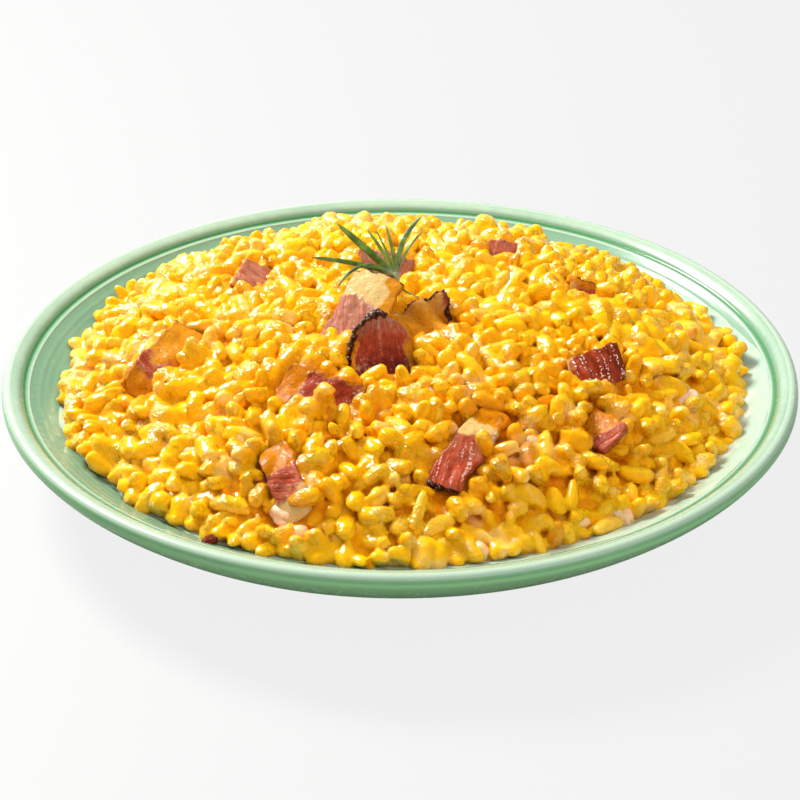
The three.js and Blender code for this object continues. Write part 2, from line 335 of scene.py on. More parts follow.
def mesh_object(name, points, faces, smooth=True, edges=()):
    """A new object in the scene with that mesh."""
    mesh = bpy.data.meshes.new(name)
    mesh.from_pydata([tuple(p) for p in points], edges, [tuple(f) for f in faces])
    mesh.update()
    made = bpy.data.objects.new(name, mesh)
    bpy.context.scene.collection.objects.link(made)
    if smooth:
        mesh.shade_smooth()
    return made


def point_attribute(mesh, name, values, kind="FLOAT"):
    """Stores one value, or one vector, for each point of a mesh."""
    slot = {"FLOAT": "value", "FLOAT_VECTOR": "vector"}[kind]
    attribute = mesh.attributes.new(name, kind, "POINT")
    attribute.data.foreach_set(slot, np.asarray(values, np.float32).ravel())


def points_of(mesh):
    """A mesh's points as an array."""
    flat = np.empty(len(mesh.vertices) * 3, np.float32)
    mesh.vertices.foreach_get("co", flat)
    return flat.reshape(-1, 3).astype(float)


def merged_copy(node):
    """A copy of a CAD node's mesh with its loose triangles joined up, as a bmesh."""
    copy = bmesh.new()
    copy.from_mesh(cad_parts[node].data)
    bmesh.ops.remove_doubles(copy, verts=copy.verts, dist=1e-6)
    return copy


def ring_faces(sides, rings, first=0, closed=False):
    """Faces between rings of points, numbered ring by ring; closed joins the last ring to the first."""
    faces = []
    for ring in range(rings if closed else rings - 1):
        near = first + ring * sides
        far = first + (ring + 1) % rings * sides
        for k in range(sides):
            after = (k + 1) % sides
            faces.append((near + k, far + k, far + after, near + after))
    return faces


def settle_modifiers(piece):
    """Turns an object with modifiers into a plain mesh."""
    graph = bpy.context.evaluated_depsgraph_get()
    plain = bpy.data.meshes.new_from_object(piece.evaluated_get(graph), depsgraph=graph)
    piece.modifiers.clear()
    old, piece.data = piece.data, plain
    bpy.data.meshes.remove(old)
    plain.name = piece.name
    return piece


def finish_piece(piece, slot, *nodes):
    """Says what a finished piece rides on and which CAD nodes it stands for; slot is not used."""
    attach(piece, "root")
    if nodes:
        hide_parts(*nodes)


def smooth_step(low, high, value):
    """0 below low, 1 above high, and a smooth rise between them."""
    t = np.clip((value - low) / (high - low), 0, 1)
    return t * t * (3 - 2 * t)


def noise_at(x, y, across, along, seed):
    """Smooth noise from -1 to 1 over flat places, with features of that size across and along."""
    depth = 17.3 * seed
    flat = [noise.noise((a / across, b / along, depth)) for a, b in zip(x.ravel(), y.ravel())]
    return np.array(flat).reshape(x.shape)


# ---------- bowl plate ----------

FLOOR_RADIUS = 0.062
FLOOR_HEIGHT = 0.008
GROOVE_RADIUS = 0.1082
GROOVE_HEIGHT = 0.0256
SLOPE_POWER = 1.6
SLOPE_MIDDLE = 0.098  # radius above which the profile is finely divided, for the rings
RINGS = ((0.1043, 1.0), (0.1024, 0.75), (0.1003, 0.45))  # (radius, height as a share of the first ring's)
RING_WIDTH = 0.0007


def well_height(radius, ring_height=0.0):
    """Height of the bowl's inside at a radius, or at an array of them."""
    rise = np.clip((radius - FLOOR_RADIUS) / (GROOVE_RADIUS - FLOOR_RADIUS), 0, None) ** SLOPE_POWER
    height = FLOOR_HEIGHT + (GROOVE_HEIGHT - FLOOR_HEIGHT) * rise
    for place, tall in RINGS:
        height = height + ring_height * tall * np.exp(-(((radius - place) / RING_WIDTH) ** 2))
    return height


def bent(start, control, end, steps):
    """Points along a bend from start to end, without its last point."""
    t = np.linspace(0, 1, steps, endpoint=False)[:, None]
    start, control, end = map(np.array, (start, control, end))
    return (1 - t) ** 2 * start + 2 * t * (1 - t) * control + t**2 * end


def bowl_profile(bowl):
    """Half section of the bowl from the middle of its inside, over the rim, to the middle of its foot."""
    floor = np.linspace(0, FLOOR_RADIUS, 8)[:-1]
    slope = np.linspace(FLOOR_RADIUS, SLOPE_MIDDLE, 22)[:-1]
    ringed = np.linspace(SLOPE_MIDDLE, GROOVE_RADIUS - 0.0013, 44)
    radii = np.concatenate([floor, slope, ringed])
    lip = GROOVE_HEIGHT + 0.0002
    groove = GROOVE_HEIGHT - bowl.groove_depth
    # Bends, each drawn towards its first point on the way to its second, with its number of steps.
    bends = (
        ((GROOVE_RADIUS - 0.0004, groove), (GROOVE_RADIUS, groove), 6),
        ((GROOVE_RADIUS + 0.0005, groove + 0.00005), (GROOVE_RADIUS + 0.0009, lip + 0.0002), 6),
        ((0.1105, RIM_HEIGHT - 0.0005), (0.1122, RIM_HEIGHT - 0.0002), 16),
        ((0.1126, RIM_HEIGHT), (0.1130, RIM_HEIGHT), 4),
        ((RIM_RADIUS, RIM_HEIGHT), (RIM_RADIUS, RIM_HEIGHT - 0.003), 12),
        ((0.1139, 0.0228), (0.1112, 0.0203), 8),
        ((0.1085, 0.0178), (0.106, 0.016), 8),
        ((0.092, 0.009), (0.0663, 0.003), 20),
        ((0.0652, 0.0022), (0.0648, 0.0006), 5),
        ((0.0646, 0.0), (0.0640, 0.0), 4),
        ((0.0630, 0.0), (0.0612, 0.0), 3),
        ((0.0605, 0.0), (0.0602, 0.0008), 4),
        ((0.0596, 0.003), (0.0580, 0.003), 5),
        ((0.03, 0.003), (0.0, 0.003), 5),
    )
    sections = [np.stack([radii, well_height(radii, bowl.ring_height)], axis=1)]
    start = (GROOVE_RADIUS - 0.0010, lip - 0.0006)
    for control, end, steps in bends:
        sections.append(bent(start, control, end, steps))
        start = end
    sections.append(np.array([start]))
    return np.concatenate(sections)


def glaze_run(profile):
    """How thick the glaze lies at each point of a profile, above 0.5 in hollows and below it on ridges and
    raised in a band of painted shade just under the lip's crest, and how far outside the bowl the point is,
    from 0 on top of its rim to 1 down its wall."""
    flow = 0.0016  # how far the glaze evens itself out
    full_depth = 0.0004  # a hollow this deep holds as much glaze as any
    along = np.concatenate([[0], np.cumsum(np.hypot(*np.diff(profile, axis=0).T))])
    weights = np.exp(-(((along[:, None] - along[None, :]) / flow) ** 2))
    steps = np.gradient(along)
    smooth = (weights * steps) @ profile / (weights @ steps)[:, None]
    tangent = np.gradient(profile, axis=0)
    outward = np.stack([-tangent[:, 1], tangent[:, 0]], axis=1)
    outward /= np.linalg.norm(outward, axis=1, keepdims=True) + 1e-12
    hollow = ((smooth - profile) * outward).sum(1)
    past_rim = along - along[profile[:, 0].argmax()]
    outside = smooth_step(-0.0034, -0.0004, past_rim)
    # Painted shade: a darker band of glaze just under the crest of the lip, where its outer face turns away
    # from the light.
    lip_shade_band = 0.4 * np.exp(-(((past_rim + 0.0016) / 0.0007) ** 2))
    return np.clip(0.5 + hollow / full_depth * (1 - 0.8 * outside) + lip_shade_band, 0, 1), outside


def lathe(name, profile, segments):
    """A closed surface turned about the axis, on which the profile's first and last points lie."""
    angles = np.linspace(0, 2 * math.pi, segments, endpoint=False)
    rings = profile[1:-1]
    points = [(0, 0, profile[0][1])]
    for radius, height in rings:
        points += [(radius * math.cos(a), radius * math.sin(a), height) for a in angles]
    points.append((0, 0, profile[-1][1]))
    last = len(points) - 1
    outer = last - segments
    faces = ring_faces(segments, len(rings), first=1)
    for k in range(segments):
        after = (k + 1) % segments
        faces.append((0, 1 + k, 1 + after))
        faces.append((last, outer + after, outer + k))
    return mesh_object(name, points, faces)


def glaze_material(bowl):
    """Mint glaze: deep where it pools and in a band of painted shade under the lip's crest, pale where it
    breaks, with fine mottling and a faint ripple; the wall takes a lighter, greener copy of it as painted
    light.
    """
    material, tree, shader = new_material("Mint glaze", specular_ior_level=0.12, coat_roughness=0.2)
    place = object_place(tree)
    mottle = speckle(tree, place, 260, 3, 0.6)
    drift = speckle(tree, place, 22, 2)
    thick = maths(tree, "ADD", value_of(tree, "pool"), maths(tree, "MULTIPLY_ADD", mottle, 0.16, -0.08))
    thick = maths(tree, "ADD", thick, maths(tree, "MULTIPLY_ADD", drift, 0.22, -0.11))
    thin, usual, pooled = tuple(bowl.glaze_thin), tuple(bowl.glaze), tuple(bowl.glaze_pooled)
    inside = ramp(tree, thick, (0.12, thin), (0.46, usual), (0.56, usual), (0.98, pooled))
    # Down the wall the glaze takes its lighter, greener copy, painted light, and goes deep where it lies
    # thick and in the painted shade band under the lip's crest.
    wall = ramp(tree, thick, (0.5, tuple(bowl.glaze_outside)), (0.9, pooled))
    outside = value_of(tree, "outside")
    dress(
        tree,
        shader,
        base_color=mixed(tree, outside, inside, wall),
        roughness=ramp(tree, mottle, (0.3, 0.2), (0.8, 0.32)),
        coat_weight=ramp(tree, outside, (0.0, 0.6), (1.0, 0.04)),
    )
    peel = speckle(tree, place, 420, 2)
    wave = speckle(tree, place, 45, 1)
    emboss(tree, shader, 0.1, 0.0004, maths(tree, "MULTIPLY_ADD", peel, 0.05, wave), coat=True)
    return material


class RISOTTO_OT_bowl(Operator):
    """Makes the ring-moulded bowl plate"""

    bl_idname = "risotto.bowl"
    bl_label = "Bowl plate"

    def execute(self, context):
        bowl = context.scene.risotto_bowl
        profile = bowl_profile(bowl)
        piece = lathe("bowl_plate", profile, bowl.segments)
        # pool holds the glaze's thickness and also the painted shade band under the lip's crest.
        for name, values in zip(("pool", "outside"), glaze_run(profile)):
            round_it = np.repeat(values[1:-1], bowl.segments)
            point_attribute(piece.data, name, np.concatenate([values[:1], round_it, values[-1:]]))
        piece.data.materials.append(glaze_material(bowl))
        finish_piece(piece, "glaze", "plate")
        return {"FINISHED"}


# ---------- rice ----------

GRID = 0.002  # distance between the places where the heap's top is measured
OUTLINE_BEARINGS = 73  # directions in which the heap's outline is measured
OUTLINE_SPREAD = 0.06  # how far round from each of them, in radians, its points may lie
BROKEN_SHARE = 0.12  # of the grains are short ones
STEEP_SHARE = 0.16  # of the grains are steep ones
STEEP_WHERE_CLEAR = 0.26  # more of them are, where the grains stand clear of the sauce
LEAN = math.radians(19)  # usual slope of the other grains
LAYERS = (0, 1)  # numbered from the top of the heap down
ROW_SHARE = 0.866  # distance between the rows of a triangular grid, as a share of its spacing
SETTLE_STEPS = 30
PAIR_STEPS = 6  # steps between two searches for grains that could touch
SQUASH = 0.93  # how near grains may come, as a share of their thickness
EASE = 0.32  # how much of an overlap one step takes away from each of two grains
PULL = 0.12  # how much of its way back to its layer a grain goes in one step
LOWEST, HIGHEST = -0.0014, 0.0022  # how far from its layer a grain may lie
SAUCE_TRIANGLES = 188000
NEAR_BACON_REACH = 0.0075


class Heap:
    """The shape that the rice fills, as functions of place: the CAD heap's outline and its top."""

    def __init__(self):
        solid = merged_copy("risotto")
        tree = BVHTree.FromBMesh(solid)
        points = np.array([v.co for v in solid.verts])
        solid.free()
        self.reach = max(HEAP_HIGH.x, HEAP_HIGH.y, -HEAP_LOW.x, -HEAP_LOW.y) + 2 * GRID
        count = int(2 * self.reach / GRID) + 1
        self.places = np.linspace(-self.reach, self.reach, count)
        top = np.full((count, count), np.nan)
        above = HEAP_HIGH.z + 0.01
        for i, x in enumerate(self.places):
            for j, y in enumerate(self.places):
                hit = tree.ray_cast(Vector((x, y, above)), Vector((0, 0, -1)))[0]
                if hit is not None:
                    top[i, j] = hit.z
        self.top = self.without_pockets(top)
        angles = np.arctan2(points[:, 1], points[:, 0])
        radii = np.hypot(points[:, 0], points[:, 1])
        self.angles = np.linspace(-math.pi, math.pi, OUTLINE_BEARINGS)
        apart = (angles[None] - self.angles[:, None] + math.pi) % (2 * math.pi) - math.pi
        self.outline = np.array([radii[row].max() for row in np.abs(apart) < OUTLINE_SPREAD])

    @staticmethod
    def without_pockets(top):
        """Fills the pockets under the toppings, and what lies outside the heap, from round about."""
        edge = np.nanmin(top)
        filled = np.where(np.isnan(top), edge, top)
        inside = ~np.isnan(top)

        def neighbours(values):
            padded = np.pad(values, 1, mode="edge")
            rows, columns = values.shape
            return np.stack([padded[a : a + rows, b : b + columns] for a in range(3) for b in range(3)])

        for _ in range(3):
            filled = np.where(inside, neighbours(filled).max(0), filled)
        for _ in range(3):
            filled = np.where(inside, neighbours(filled).min(0), filled)
        for _ in range(4):
            filled = neighbours(filled).mean(0)
        return filled

    def height(self, x, y):
        """Height of the heap's top at arrays of places."""
        last = len(self.places) - 2
        fx = np.clip((x + self.reach) / GRID, 0, last)
        fy = np.clip((y + self.reach) / GRID, 0, last)
        i, j = fx.astype(int), fy.astype(int)
        u, v = fx - i, fy - j
        low = self.top[i, j] * (1 - u) + self.top[i + 1, j] * u
        high = self.top[i, j + 1] * (1 - u) + self.top[i + 1, j + 1] * u
        return low * (1 - v) + high * v

    def edge(self, x, y):
        """Radius of the heap's outline in the direction of places."""
        return np.interp(np.arctan2(y, x), self.angles, self.outline)


@lru_cache(maxsize=1)
def rice_heap():
    """The shape that the rice fills, measured once."""
    return Heap()


def toppings_tree(bacon):
    """Search tree of the slices of bacon, which the rice lies against."""
    corners, faces = [], []
    for points, sides, _ in placed_slices(bacon).values():
        faces += [tuple(len(corners) + corner for corner in side) for side in sides]
        corners += points.tolist()
    return BVHTree.FromPolygons(corners, faces)


def standing_clear(x, y):
    """How far the grains stand clear of the sauce: 1 in front of the middle, 0 further away."""
    return np.exp(-(((x - 0.018) / 0.040) ** 2) - ((y + 0.045) / 0.032) ** 2)


def nearest_on_segments(p1, a1, p2, a2, half1, half2):
    """Where two sets of straight segments come closest, as distances along each from its middle."""
    apart = p1 - p2
    cosine = (a1 * a2).sum(1)
    d1, d2 = (a1 * apart).sum(1), (a2 * apart).sum(1)
    s = np.clip((cosine * d2 - d1) / np.maximum(1 - cosine**2, 1e-3), -half1, half1)
    t = np.clip(cosine * s + d2, -half2, half2)
    return np.clip(cosine * t - d1, -half1, half1), t


# Grains that stand in front of a slice of bacon: where their middle is, and which way they point.
PROPPED_GRAINS = (
    ((-0.0205, -0.0545, 0.0455), (0.25, -0.35, 0.9)),
    ((0.0222, -0.0720, 0.0415), (-0.2, -0.45, 0.87)),
    ((0.0262, -0.0795, 0.0380), (-0.35, -0.4, 0.8)),
    ((-0.0585, -0.0250, 0.0425), (0.1, 0.45, 0.85)),
    ((-0.0232, -0.0735, 0.0372), (0.85, 0.25, 0.45)),
    ((-0.0250, -0.0845, 0.0318), (0.7, -0.4, 0.5)),
    ((0.0506, -0.0425, 0.0412), (0.6, -0.5, 0.6)),
)


class GrainBed:
    """Grains of rice that settle against one another, the bowl and the toppings."""

    def __init__(self, heap, rice):
        self.heap = heap
        self.rng = np.random.default_rng(rice.seed)
        self.radius = rice.grain_width / 2
        self.half = (rice.grain_length - rice.grain_width) / 2
        layers = [self.layer(rice.spacing, number, rice) for number in LAYERS]
        self.places = np.concatenate([places for places, _ in layers])
        self.depth = np.concatenate([np.full(len(places), depth) for places, depth in layers])
        count = len(self.places)
        self.size = np.clip(self.rng.normal(1.0, 0.1, count), 0.8, 1.28)
        self.stretch = np.clip(self.rng.normal(1.0, 0.1, count), 0.8, 1.25)
        broken = self.rng.random(count) < BROKEN_SHARE
        self.stretch[broken] = self.rng.uniform(0.5, 0.75, broken.sum())
        flat = self.rng.uniform(0, 2 * math.pi, count)
        tilt = self.rng.normal(0, LEAN, count)
        x, y = self.places[:, 0], self.places[:, 1]
        steep = self.rng.random(count) < STEEP_SHARE + STEEP_WHERE_CLEAR * standing_clear(x, y)
        tilt[steep] = self.rng.uniform(math.radians(35), math.radians(80), steep.sum())
        at_edge = smooth_step(0.86, 0.93, np.hypot(x, y) / heap.edge(x, y))
        tilt *= 1 - 0.8 * at_edge
        self.axes = np.stack([np.cos(flat) * np.cos(tilt), np.sin(flat) * np.cos(tilt), np.sin(tilt)], axis=1)

    def layer(self, spacing, number, rice):
        """Middles of one layer's grains on a jittered triangular grid, and how deep they lie."""
        rows = int(2 * self.heap.reach / (spacing * ROW_SHARE)) + 2
        across = int(2 * self.heap.reach / spacing) + 2
        j, i = np.meshgrid(np.arange(rows), np.arange(across))
        x = (i + 0.5 * (j % 2)) * spacing - self.heap.reach + number * spacing / 2
        y = j * spacing * ROW_SHARE - self.heap.reach + number * spacing / 3
        x, y = (v.ravel() + self.rng.normal(0, spacing * 0.22, v.size) for v in (x, y))
        inside = np.hypot(x, y) < self.heap.edge(x, y) - self.radius * self.rng.uniform(0.3, 1.1, x.size)
        x, y = x[inside], y[inside]
        depth = self.radius - 0.0004 + number * rice.layer_depth
        z = self.heap.height(x, y) - depth + self.rng.normal(0, 0.0005, x.size)
        return np.stack([x, y, z], axis=1), depth

    def close_pairs(self):
        """Numbers of the grains that could touch."""
        near = 2 * (self.half + self.radius) * 1.1
        found = []
        for start in range(0, len(self.places), 400):
            apart = np.linalg.norm(self.places[start : start + 400, None] - self.places[None], axis=2)
            one, other = np.nonzero(apart < near)
            keep = one + start < other
            found.append(np.stack([one[keep] + start, other[keep]]))
        return np.concatenate(found, axis=1)

    def push(self, which, along, shift):
        """Moves grains by shift at a distance along their axes: partly a slide, partly a turn."""
        np.add.at(self.slide, which, shift)
        level = shift - self.axes[which] * (shift * self.axes[which]).sum(1, keepdims=True)
        np.add.at(self.turn, which, level * (along / self.half**2)[:, None])

    def settle(self, steps, tree):
        """Pushes overlapping grains apart, and back towards their layer, a little at a time."""
        for step in range(steps):
            if step % PAIR_STEPS == 0:
                one, other = self.close_pairs()
            self.slide = np.zeros_like(self.places)
            self.turn = np.zeros_like(self.places)
            half1, half2 = self.half * self.stretch[one], self.half * self.stretch[other]
            s, t = nearest_on_segments(
                self.places[one], self.axes[one], self.places[other], self.axes[other], half1, half2
            )
            apart = self.places[one] + self.axes[one] * s[:, None]
            apart -= self.places[other] + self.axes[other] * t[:, None]
            gap = np.linalg.norm(apart, axis=1)
            room = self.radius * (self.size[one] + self.size[other]) * SQUASH
            lack = np.clip(room - gap, 0, None)
            shift = apart / np.maximum(gap, 1e-6)[:, None] * (EASE * lack)[:, None]
            touching = lack > 0
            self.push(one[touching], s[touching], shift[touching])
            self.push(other[touching], t[touching], -shift[touching])
            self.avoid(tree)
            self.places += self.slide
            self.axes += self.turn
            self.axes /= np.linalg.norm(self.axes, axis=1, keepdims=True)
            self.contain()

    def avoid(self, tree):
        """Pushes grains off the toppings."""
        for share_along in (-0.9, 0.0, 0.9):
            along = self.half * share_along
            spots = self.places + self.axes * along
            reach = self.radius * 1.02
            for k, spot in enumerate(spots):
                hit, normal, _, gap = tree.find_nearest(spot, 2 * reach)
                if hit is None:
                    continue
                outside = (Vector(spot) - hit).dot(normal) > 0
                lack = reach - gap if outside else reach + gap
                if lack > 0:
                    shift = np.array(normal) * (0.5 * lack)
                    self.push(np.array([k]), np.array([along]), shift[None])

    def drop_skewered(self, tree):
        """Takes out the grains that a topping cuts through."""
        clear = []
        for place, axis, stretch in zip(self.places, self.axes, self.stretch):
            half = self.half * stretch
            start = Vector(place - axis * half)
            clear.append(tree.ray_cast(start, Vector(axis), 2 * half)[0] is None)
        for name in ("places", "depth", "size", "stretch", "axes"):
            setattr(self, name, getattr(self, name)[clear])

    def prop_up(self, extra):
        """Adds grains that lean on the toppings, each with its place and the direction that it points."""
        places, axes = (np.array(values, float) for values in zip(*extra))
        axes /= np.linalg.norm(axes, axis=1, keepdims=True)
        usual = np.ones(len(extra))
        added = {"places": places, "axes": axes, "size": usual, "stretch": usual, "depth": 0 * usual}
        for name, values in added.items():
            setattr(self, name, np.concatenate([getattr(self, name), values]))
        self.tone = np.clip(self.rng.normal(0.6, 0.2, len(self.places)), 0, 1)

    def drown(self, seed):
        """Swells the grains that lie under the sauce in patches, most of them on the left; gives which."""
        x, y = self.places[:, :2].T
        least = 0.1 + 3 * np.clip(x, -0.06, 0.05) + 0.8 * standing_clear(x, y)
        drowned = noise_at(x, y, 0.013, 0.013, seed) > least
        drowned[-len(PROPPED_GRAINS) :] = False
        self.size[drowned] *= self.rng.uniform(1.0, 1.4, drowned.sum())
        return drowned

    def contain(self):
        """Keeps grains in their layer, inside the outline and above the bowl."""
        x, y, z = self.places.T
        radius = np.hypot(x, y)
        edge = self.heap.edge(x, y) - self.radius * 0.7
        inward = np.minimum(1, edge / np.maximum(radius, 1e-6))
        self.places[:, 0] *= inward
        self.places[:, 1] *= inward
        x, y, z = self.places.T
        wanted = self.heap.height(x, y) - self.depth
        z = z + PULL * (wanted - z)
        z = np.clip(z, wanted + LOWEST, wanted + HIGHEST)
        upright = np.abs(self.axes[:, 2]) * self.half
        floor = well_height(np.hypot(x, y)) + self.radius * 0.9 + 0.5 * upright
        self.places[:, 2] = np.maximum(z, floor)


def grain_tree():
    """Geometry nodes that put a grain of rice at each point, lying along the point's own direction."""
    tree, given, result = geometry_group(
        "Rice grains",
        ("Grain Length", "NodeSocketFloat", 0.0099),
        ("Grain Width", "NodeSocketFloat", 0.0047),
        ("Unevenness", "NodeSocketFloat", 0.0009),
        ("Seed", "NodeSocketInt", 0),
    )
    ball = add(tree, "GeometryNodeMeshUVSphere", {"Segments": 8, "Rings": 7, "Radius": 1.0})
    x, y, z = add(tree, "ShaderNodeSeparateXYZ", {0: add(tree, "GeometryNodeInputPosition")}).outputs
    across = maths(tree, "SQRT", maths(tree, "ADD", product(tree, x, x), product(tree, y, y)))
    blunt = maths(tree, "POWER", maths(tree, "MAXIMUM", across, 0.01), -0.3)
    fat_end = maths(tree, "MULTIPLY_ADD", z, 0.09, 1.0)
    plump = product(tree, fat_end, blunt, product(tree, given.outputs["Grain Width"], 0.5))
    bend = product(tree, z, z, 0.0005)
    axes = {
        "X": maths(tree, "ADD", product(tree, x, plump), bend),
        "Y": product(tree, plump, 0.9, y),
        "Z": product(tree, given.outputs["Grain Length"], 0.5, z),
    }
    shaped = add(tree, "ShaderNodeCombineXYZ", axes)
    grain = add(tree, "GeometryNodeSetPosition", {"Geometry": ball.outputs["Mesh"], "Position": shaped})
    grain = add(tree, "GeometryNodeSetShadeSmooth", {0: grain})
    along = {"Vector": stored(tree, "along", "FLOAT_VECTOR")}
    lie = add(tree, "FunctionNodeAlignRotationToVector", along, axis="Z")
    whole_turn = {"Max": (0, 0, 2 * math.pi), "Seed": given.outputs["Seed"]}
    spin = add(tree, "FunctionNodeRandomValue", whole_turn, data_type="FLOAT_VECTOR")
    roll = add(tree, "FunctionNodeEulerToRotation", {0: spin.outputs[0]})
    turn = add(tree, "FunctionNodeRotateRotation", {0: lie, 1: roll}, rotation_space="LOCAL")
    each = {"Points": given.outputs["Geometry"], "Instance": grain, "Rotation": turn}
    each["Scale"] = stored(tree, "size", "FLOAT_VECTOR")
    laid = add(tree, "GeometryNodeInstanceOnPoints", each)
    real = add(tree, "GeometryNodeRealizeInstances", {0: laid})
    lump = add(tree, "ShaderNodeTexNoise", {"Scale": 260.0, "Detail": 1.0})
    lumpy = product(tree, maths(tree, "SUBTRACT", lump.outputs[0], 0.5), given.outputs["Unevenness"])
    give_back(tree, pushed_out(tree, real, lumpy), given, result)
    return tree


def sauce_tree():
    """Geometry nodes that let sauce rise over grains in patches and raise crumbs in it."""
    tree, given, result = geometry_group(
        "Sauce relief",
        ("Cover", "NodeSocketFloat", 0.0008),
        ("Crumb Height", "NodeSocketFloat", 0.0005),
    )

    def patches(scale, low, high):
        texture = add(tree, "ShaderNodeTexNoise", {"Scale": scale, "Detail": 2.0})
        limits = {"Value": texture.outputs[0], "From Min": low, "From Max": high}
        return add(tree, "ShaderNodeMapRange", limits, interpolation_type="SMOOTHSTEP").outputs[0]

    cover = product(tree, patches(48.0, 0.47, 0.62), given.outputs["Cover"])
    crumbs = product(tree, patches(400.0, 0.45, 0.75), patches(70.0, 0.48, 0.6))
    crumbs = product(tree, crumbs, given.outputs["Crumb Height"])
    rise = maths(tree, "ADD", cover, crumbs)
    upright = add(tree, "ShaderNodeSeparateXYZ", {0: add(tree, "GeometryNodeInputNormal")}).outputs["Z"]
    facing = add(tree, "ShaderNodeMapRange", {"Value": upright, "From Min": -0.4, "From Max": 0.1})
    risen = pushed_out(tree, given.outputs["Geometry"], product(tree, rise, facing))
    give_back(tree, risen, given, result)
    return tree


def grow(piece, tree, **values):
    """Runs a geometry tree on an object with values for its named inputs, and keeps the plain mesh."""
    modifier = piece.modifiers.new(tree.name, "NODES")
    modifier.node_group = tree
    for item in tree.interface.items_tree:
        key = item.name.replace(" ", "_").lower()
        if item.in_out == "INPUT" and key in values:
            modifier[item.identifier] = values[key]
    return settle_modifiers(piece)


def lay_grains(name, bed, chosen, rice, tree, material, width=1.0):
    """One piece of the chosen grains, with their width as a share of the usual one."""
    piece = mesh_object(name, bed.places[chosen], [], smooth=False)
    point_attribute(piece.data, "along", bed.axes[chosen], "FLOAT_VECTOR")
    size, stretch = bed.size[chosen] * width, bed.stretch[chosen]
    point_attribute(piece.data, "size", np.stack([size, size, stretch], axis=1), "FLOAT_VECTOR")
    point_attribute(piece.data, "tone", bed.tone[chosen])
    values = {"grain_length": rice.grain_length, "grain_width": rice.grain_width, "seed": rice.seed}
    return grow(piece, tree, material=material, **values)


def core_points(heap, rice):
    """The sauce under and between the grains, as a closed mesh: out over its top and back along the bowl."""
    segments, rings, rings_below = 160, 48, 10
    angles = np.linspace(0, 2 * math.pi, segments, endpoint=False)
    edge = heap.edge(np.cos(angles), np.sin(angles)) - 0.001
    points = []
    for t in np.sqrt(np.linspace(0.01, 1, rings)):
        x, y = edge * t * np.cos(angles), edge * t * np.sin(angles)
        wet_side = 0.3 * np.clip((y - x) / 0.1, -1, 1)
        pool = smooth_step(-0.25, 0.15, noise_at(x, y, 0.013, 0.013, rice.seed + 0.5) + wet_side)
        depth = rice.gap_depth + (rice.pool_depth - rice.gap_depth) * pool
        depth = depth + 0.0007 * noise_at(x, y, 0.0045, 0.0045, rice.seed + 0.7)
        depth = depth * (1 - 0.4 * smooth_step(0.84, 0.96, t)) + 0.0014 * standing_clear(x, y)
        low = well_height(np.hypot(x, y)) + 0.0010
        points += list(zip(x, y, np.maximum(heap.height(x, y) - depth, low)))
    for t in np.linspace(1, FLOOR_RADIUS / HEAP_HIGH.x, rings_below):
        x, y = edge * t * np.cos(angles), edge * t * np.sin(angles)
        points += list(zip(x, y, well_height(np.hypot(x, y)) + 0.0003))
    loops = rings + rings_below
    top, bottom = range(segments), range((loops - 1) * segments, loops * segments)
    return points, [tuple(top), *ring_faces(segments, loops), tuple(reversed(bottom))]


def sauce_bed(heap, bed, rice, tree, material):
    """The sauce that wraps the grains: the grains and the core melted together and smoothed."""
    everything = np.arange(len(bed.places))
    piece = lay_grains("rice_sauce", bed, everything, rice, tree, material)
    joined = bmesh.new()
    joined.from_mesh(piece.data)
    points, faces = core_points(heap, rice)
    made = [joined.verts.new(p) for p in points]
    for face in faces:
        joined.faces.new([made[k] for k in face])
    joined.to_mesh(piece.data)
    joined.free()
    melt = piece.modifiers.new("Melt", "REMESH")
    melt.mode = "VOXEL"
    melt.voxel_size = rice.sauce_voxel
    flow = piece.modifiers.new("Flow", "SMOOTH")
    flow.factor = 0.5
    flow.iterations = 8
    settle_modifiers(piece)
    grow(piece, sauce_tree(), cover=rice.sauce_cover, crumb_height=rice.crumb_height, material=material)
    triangles = sum(len(p.vertices) - 2 for p in piece.data.polygons)
    thin = piece.modifiers.new("Thin", "DECIMATE")
    thin.ratio = min(1.0, SAUCE_TRIANGLES / triangles)
    settle_modifiers(piece)
    piece.data.validate()
    piece.data.shade_smooth()
    return piece


def sauce_depth(points, heap, bed):
    """How deep in the rice each point of the sauce lies: 0 on top of the grains, 1 down in a crevice; the
    sauce is coloured darker with it, as painted shade.
    """
    places = np.concatenate([bed.places + bed.axes * bed.half * k for k in (-0.9, -0.3, 0.3, 0.9)])
    nearest = KDTree(len(places))
    for k, place in enumerate(places):
        nearest.insert(place, k)
    nearest.balance()
    gaps = np.array([nearest.find(point)[2] for point in points])
    hollow = np.clip((gaps - bed.radius * 0.95) / 0.0012, 0, 1)
    below = np.clip((heap.height(points[:, 0], points[:, 1]) - 0.0002 - points[:, 2]) / 0.0042, 0, 1)
    return np.clip(0.75 * below + 0.35 * hollow * below, 0, 1)


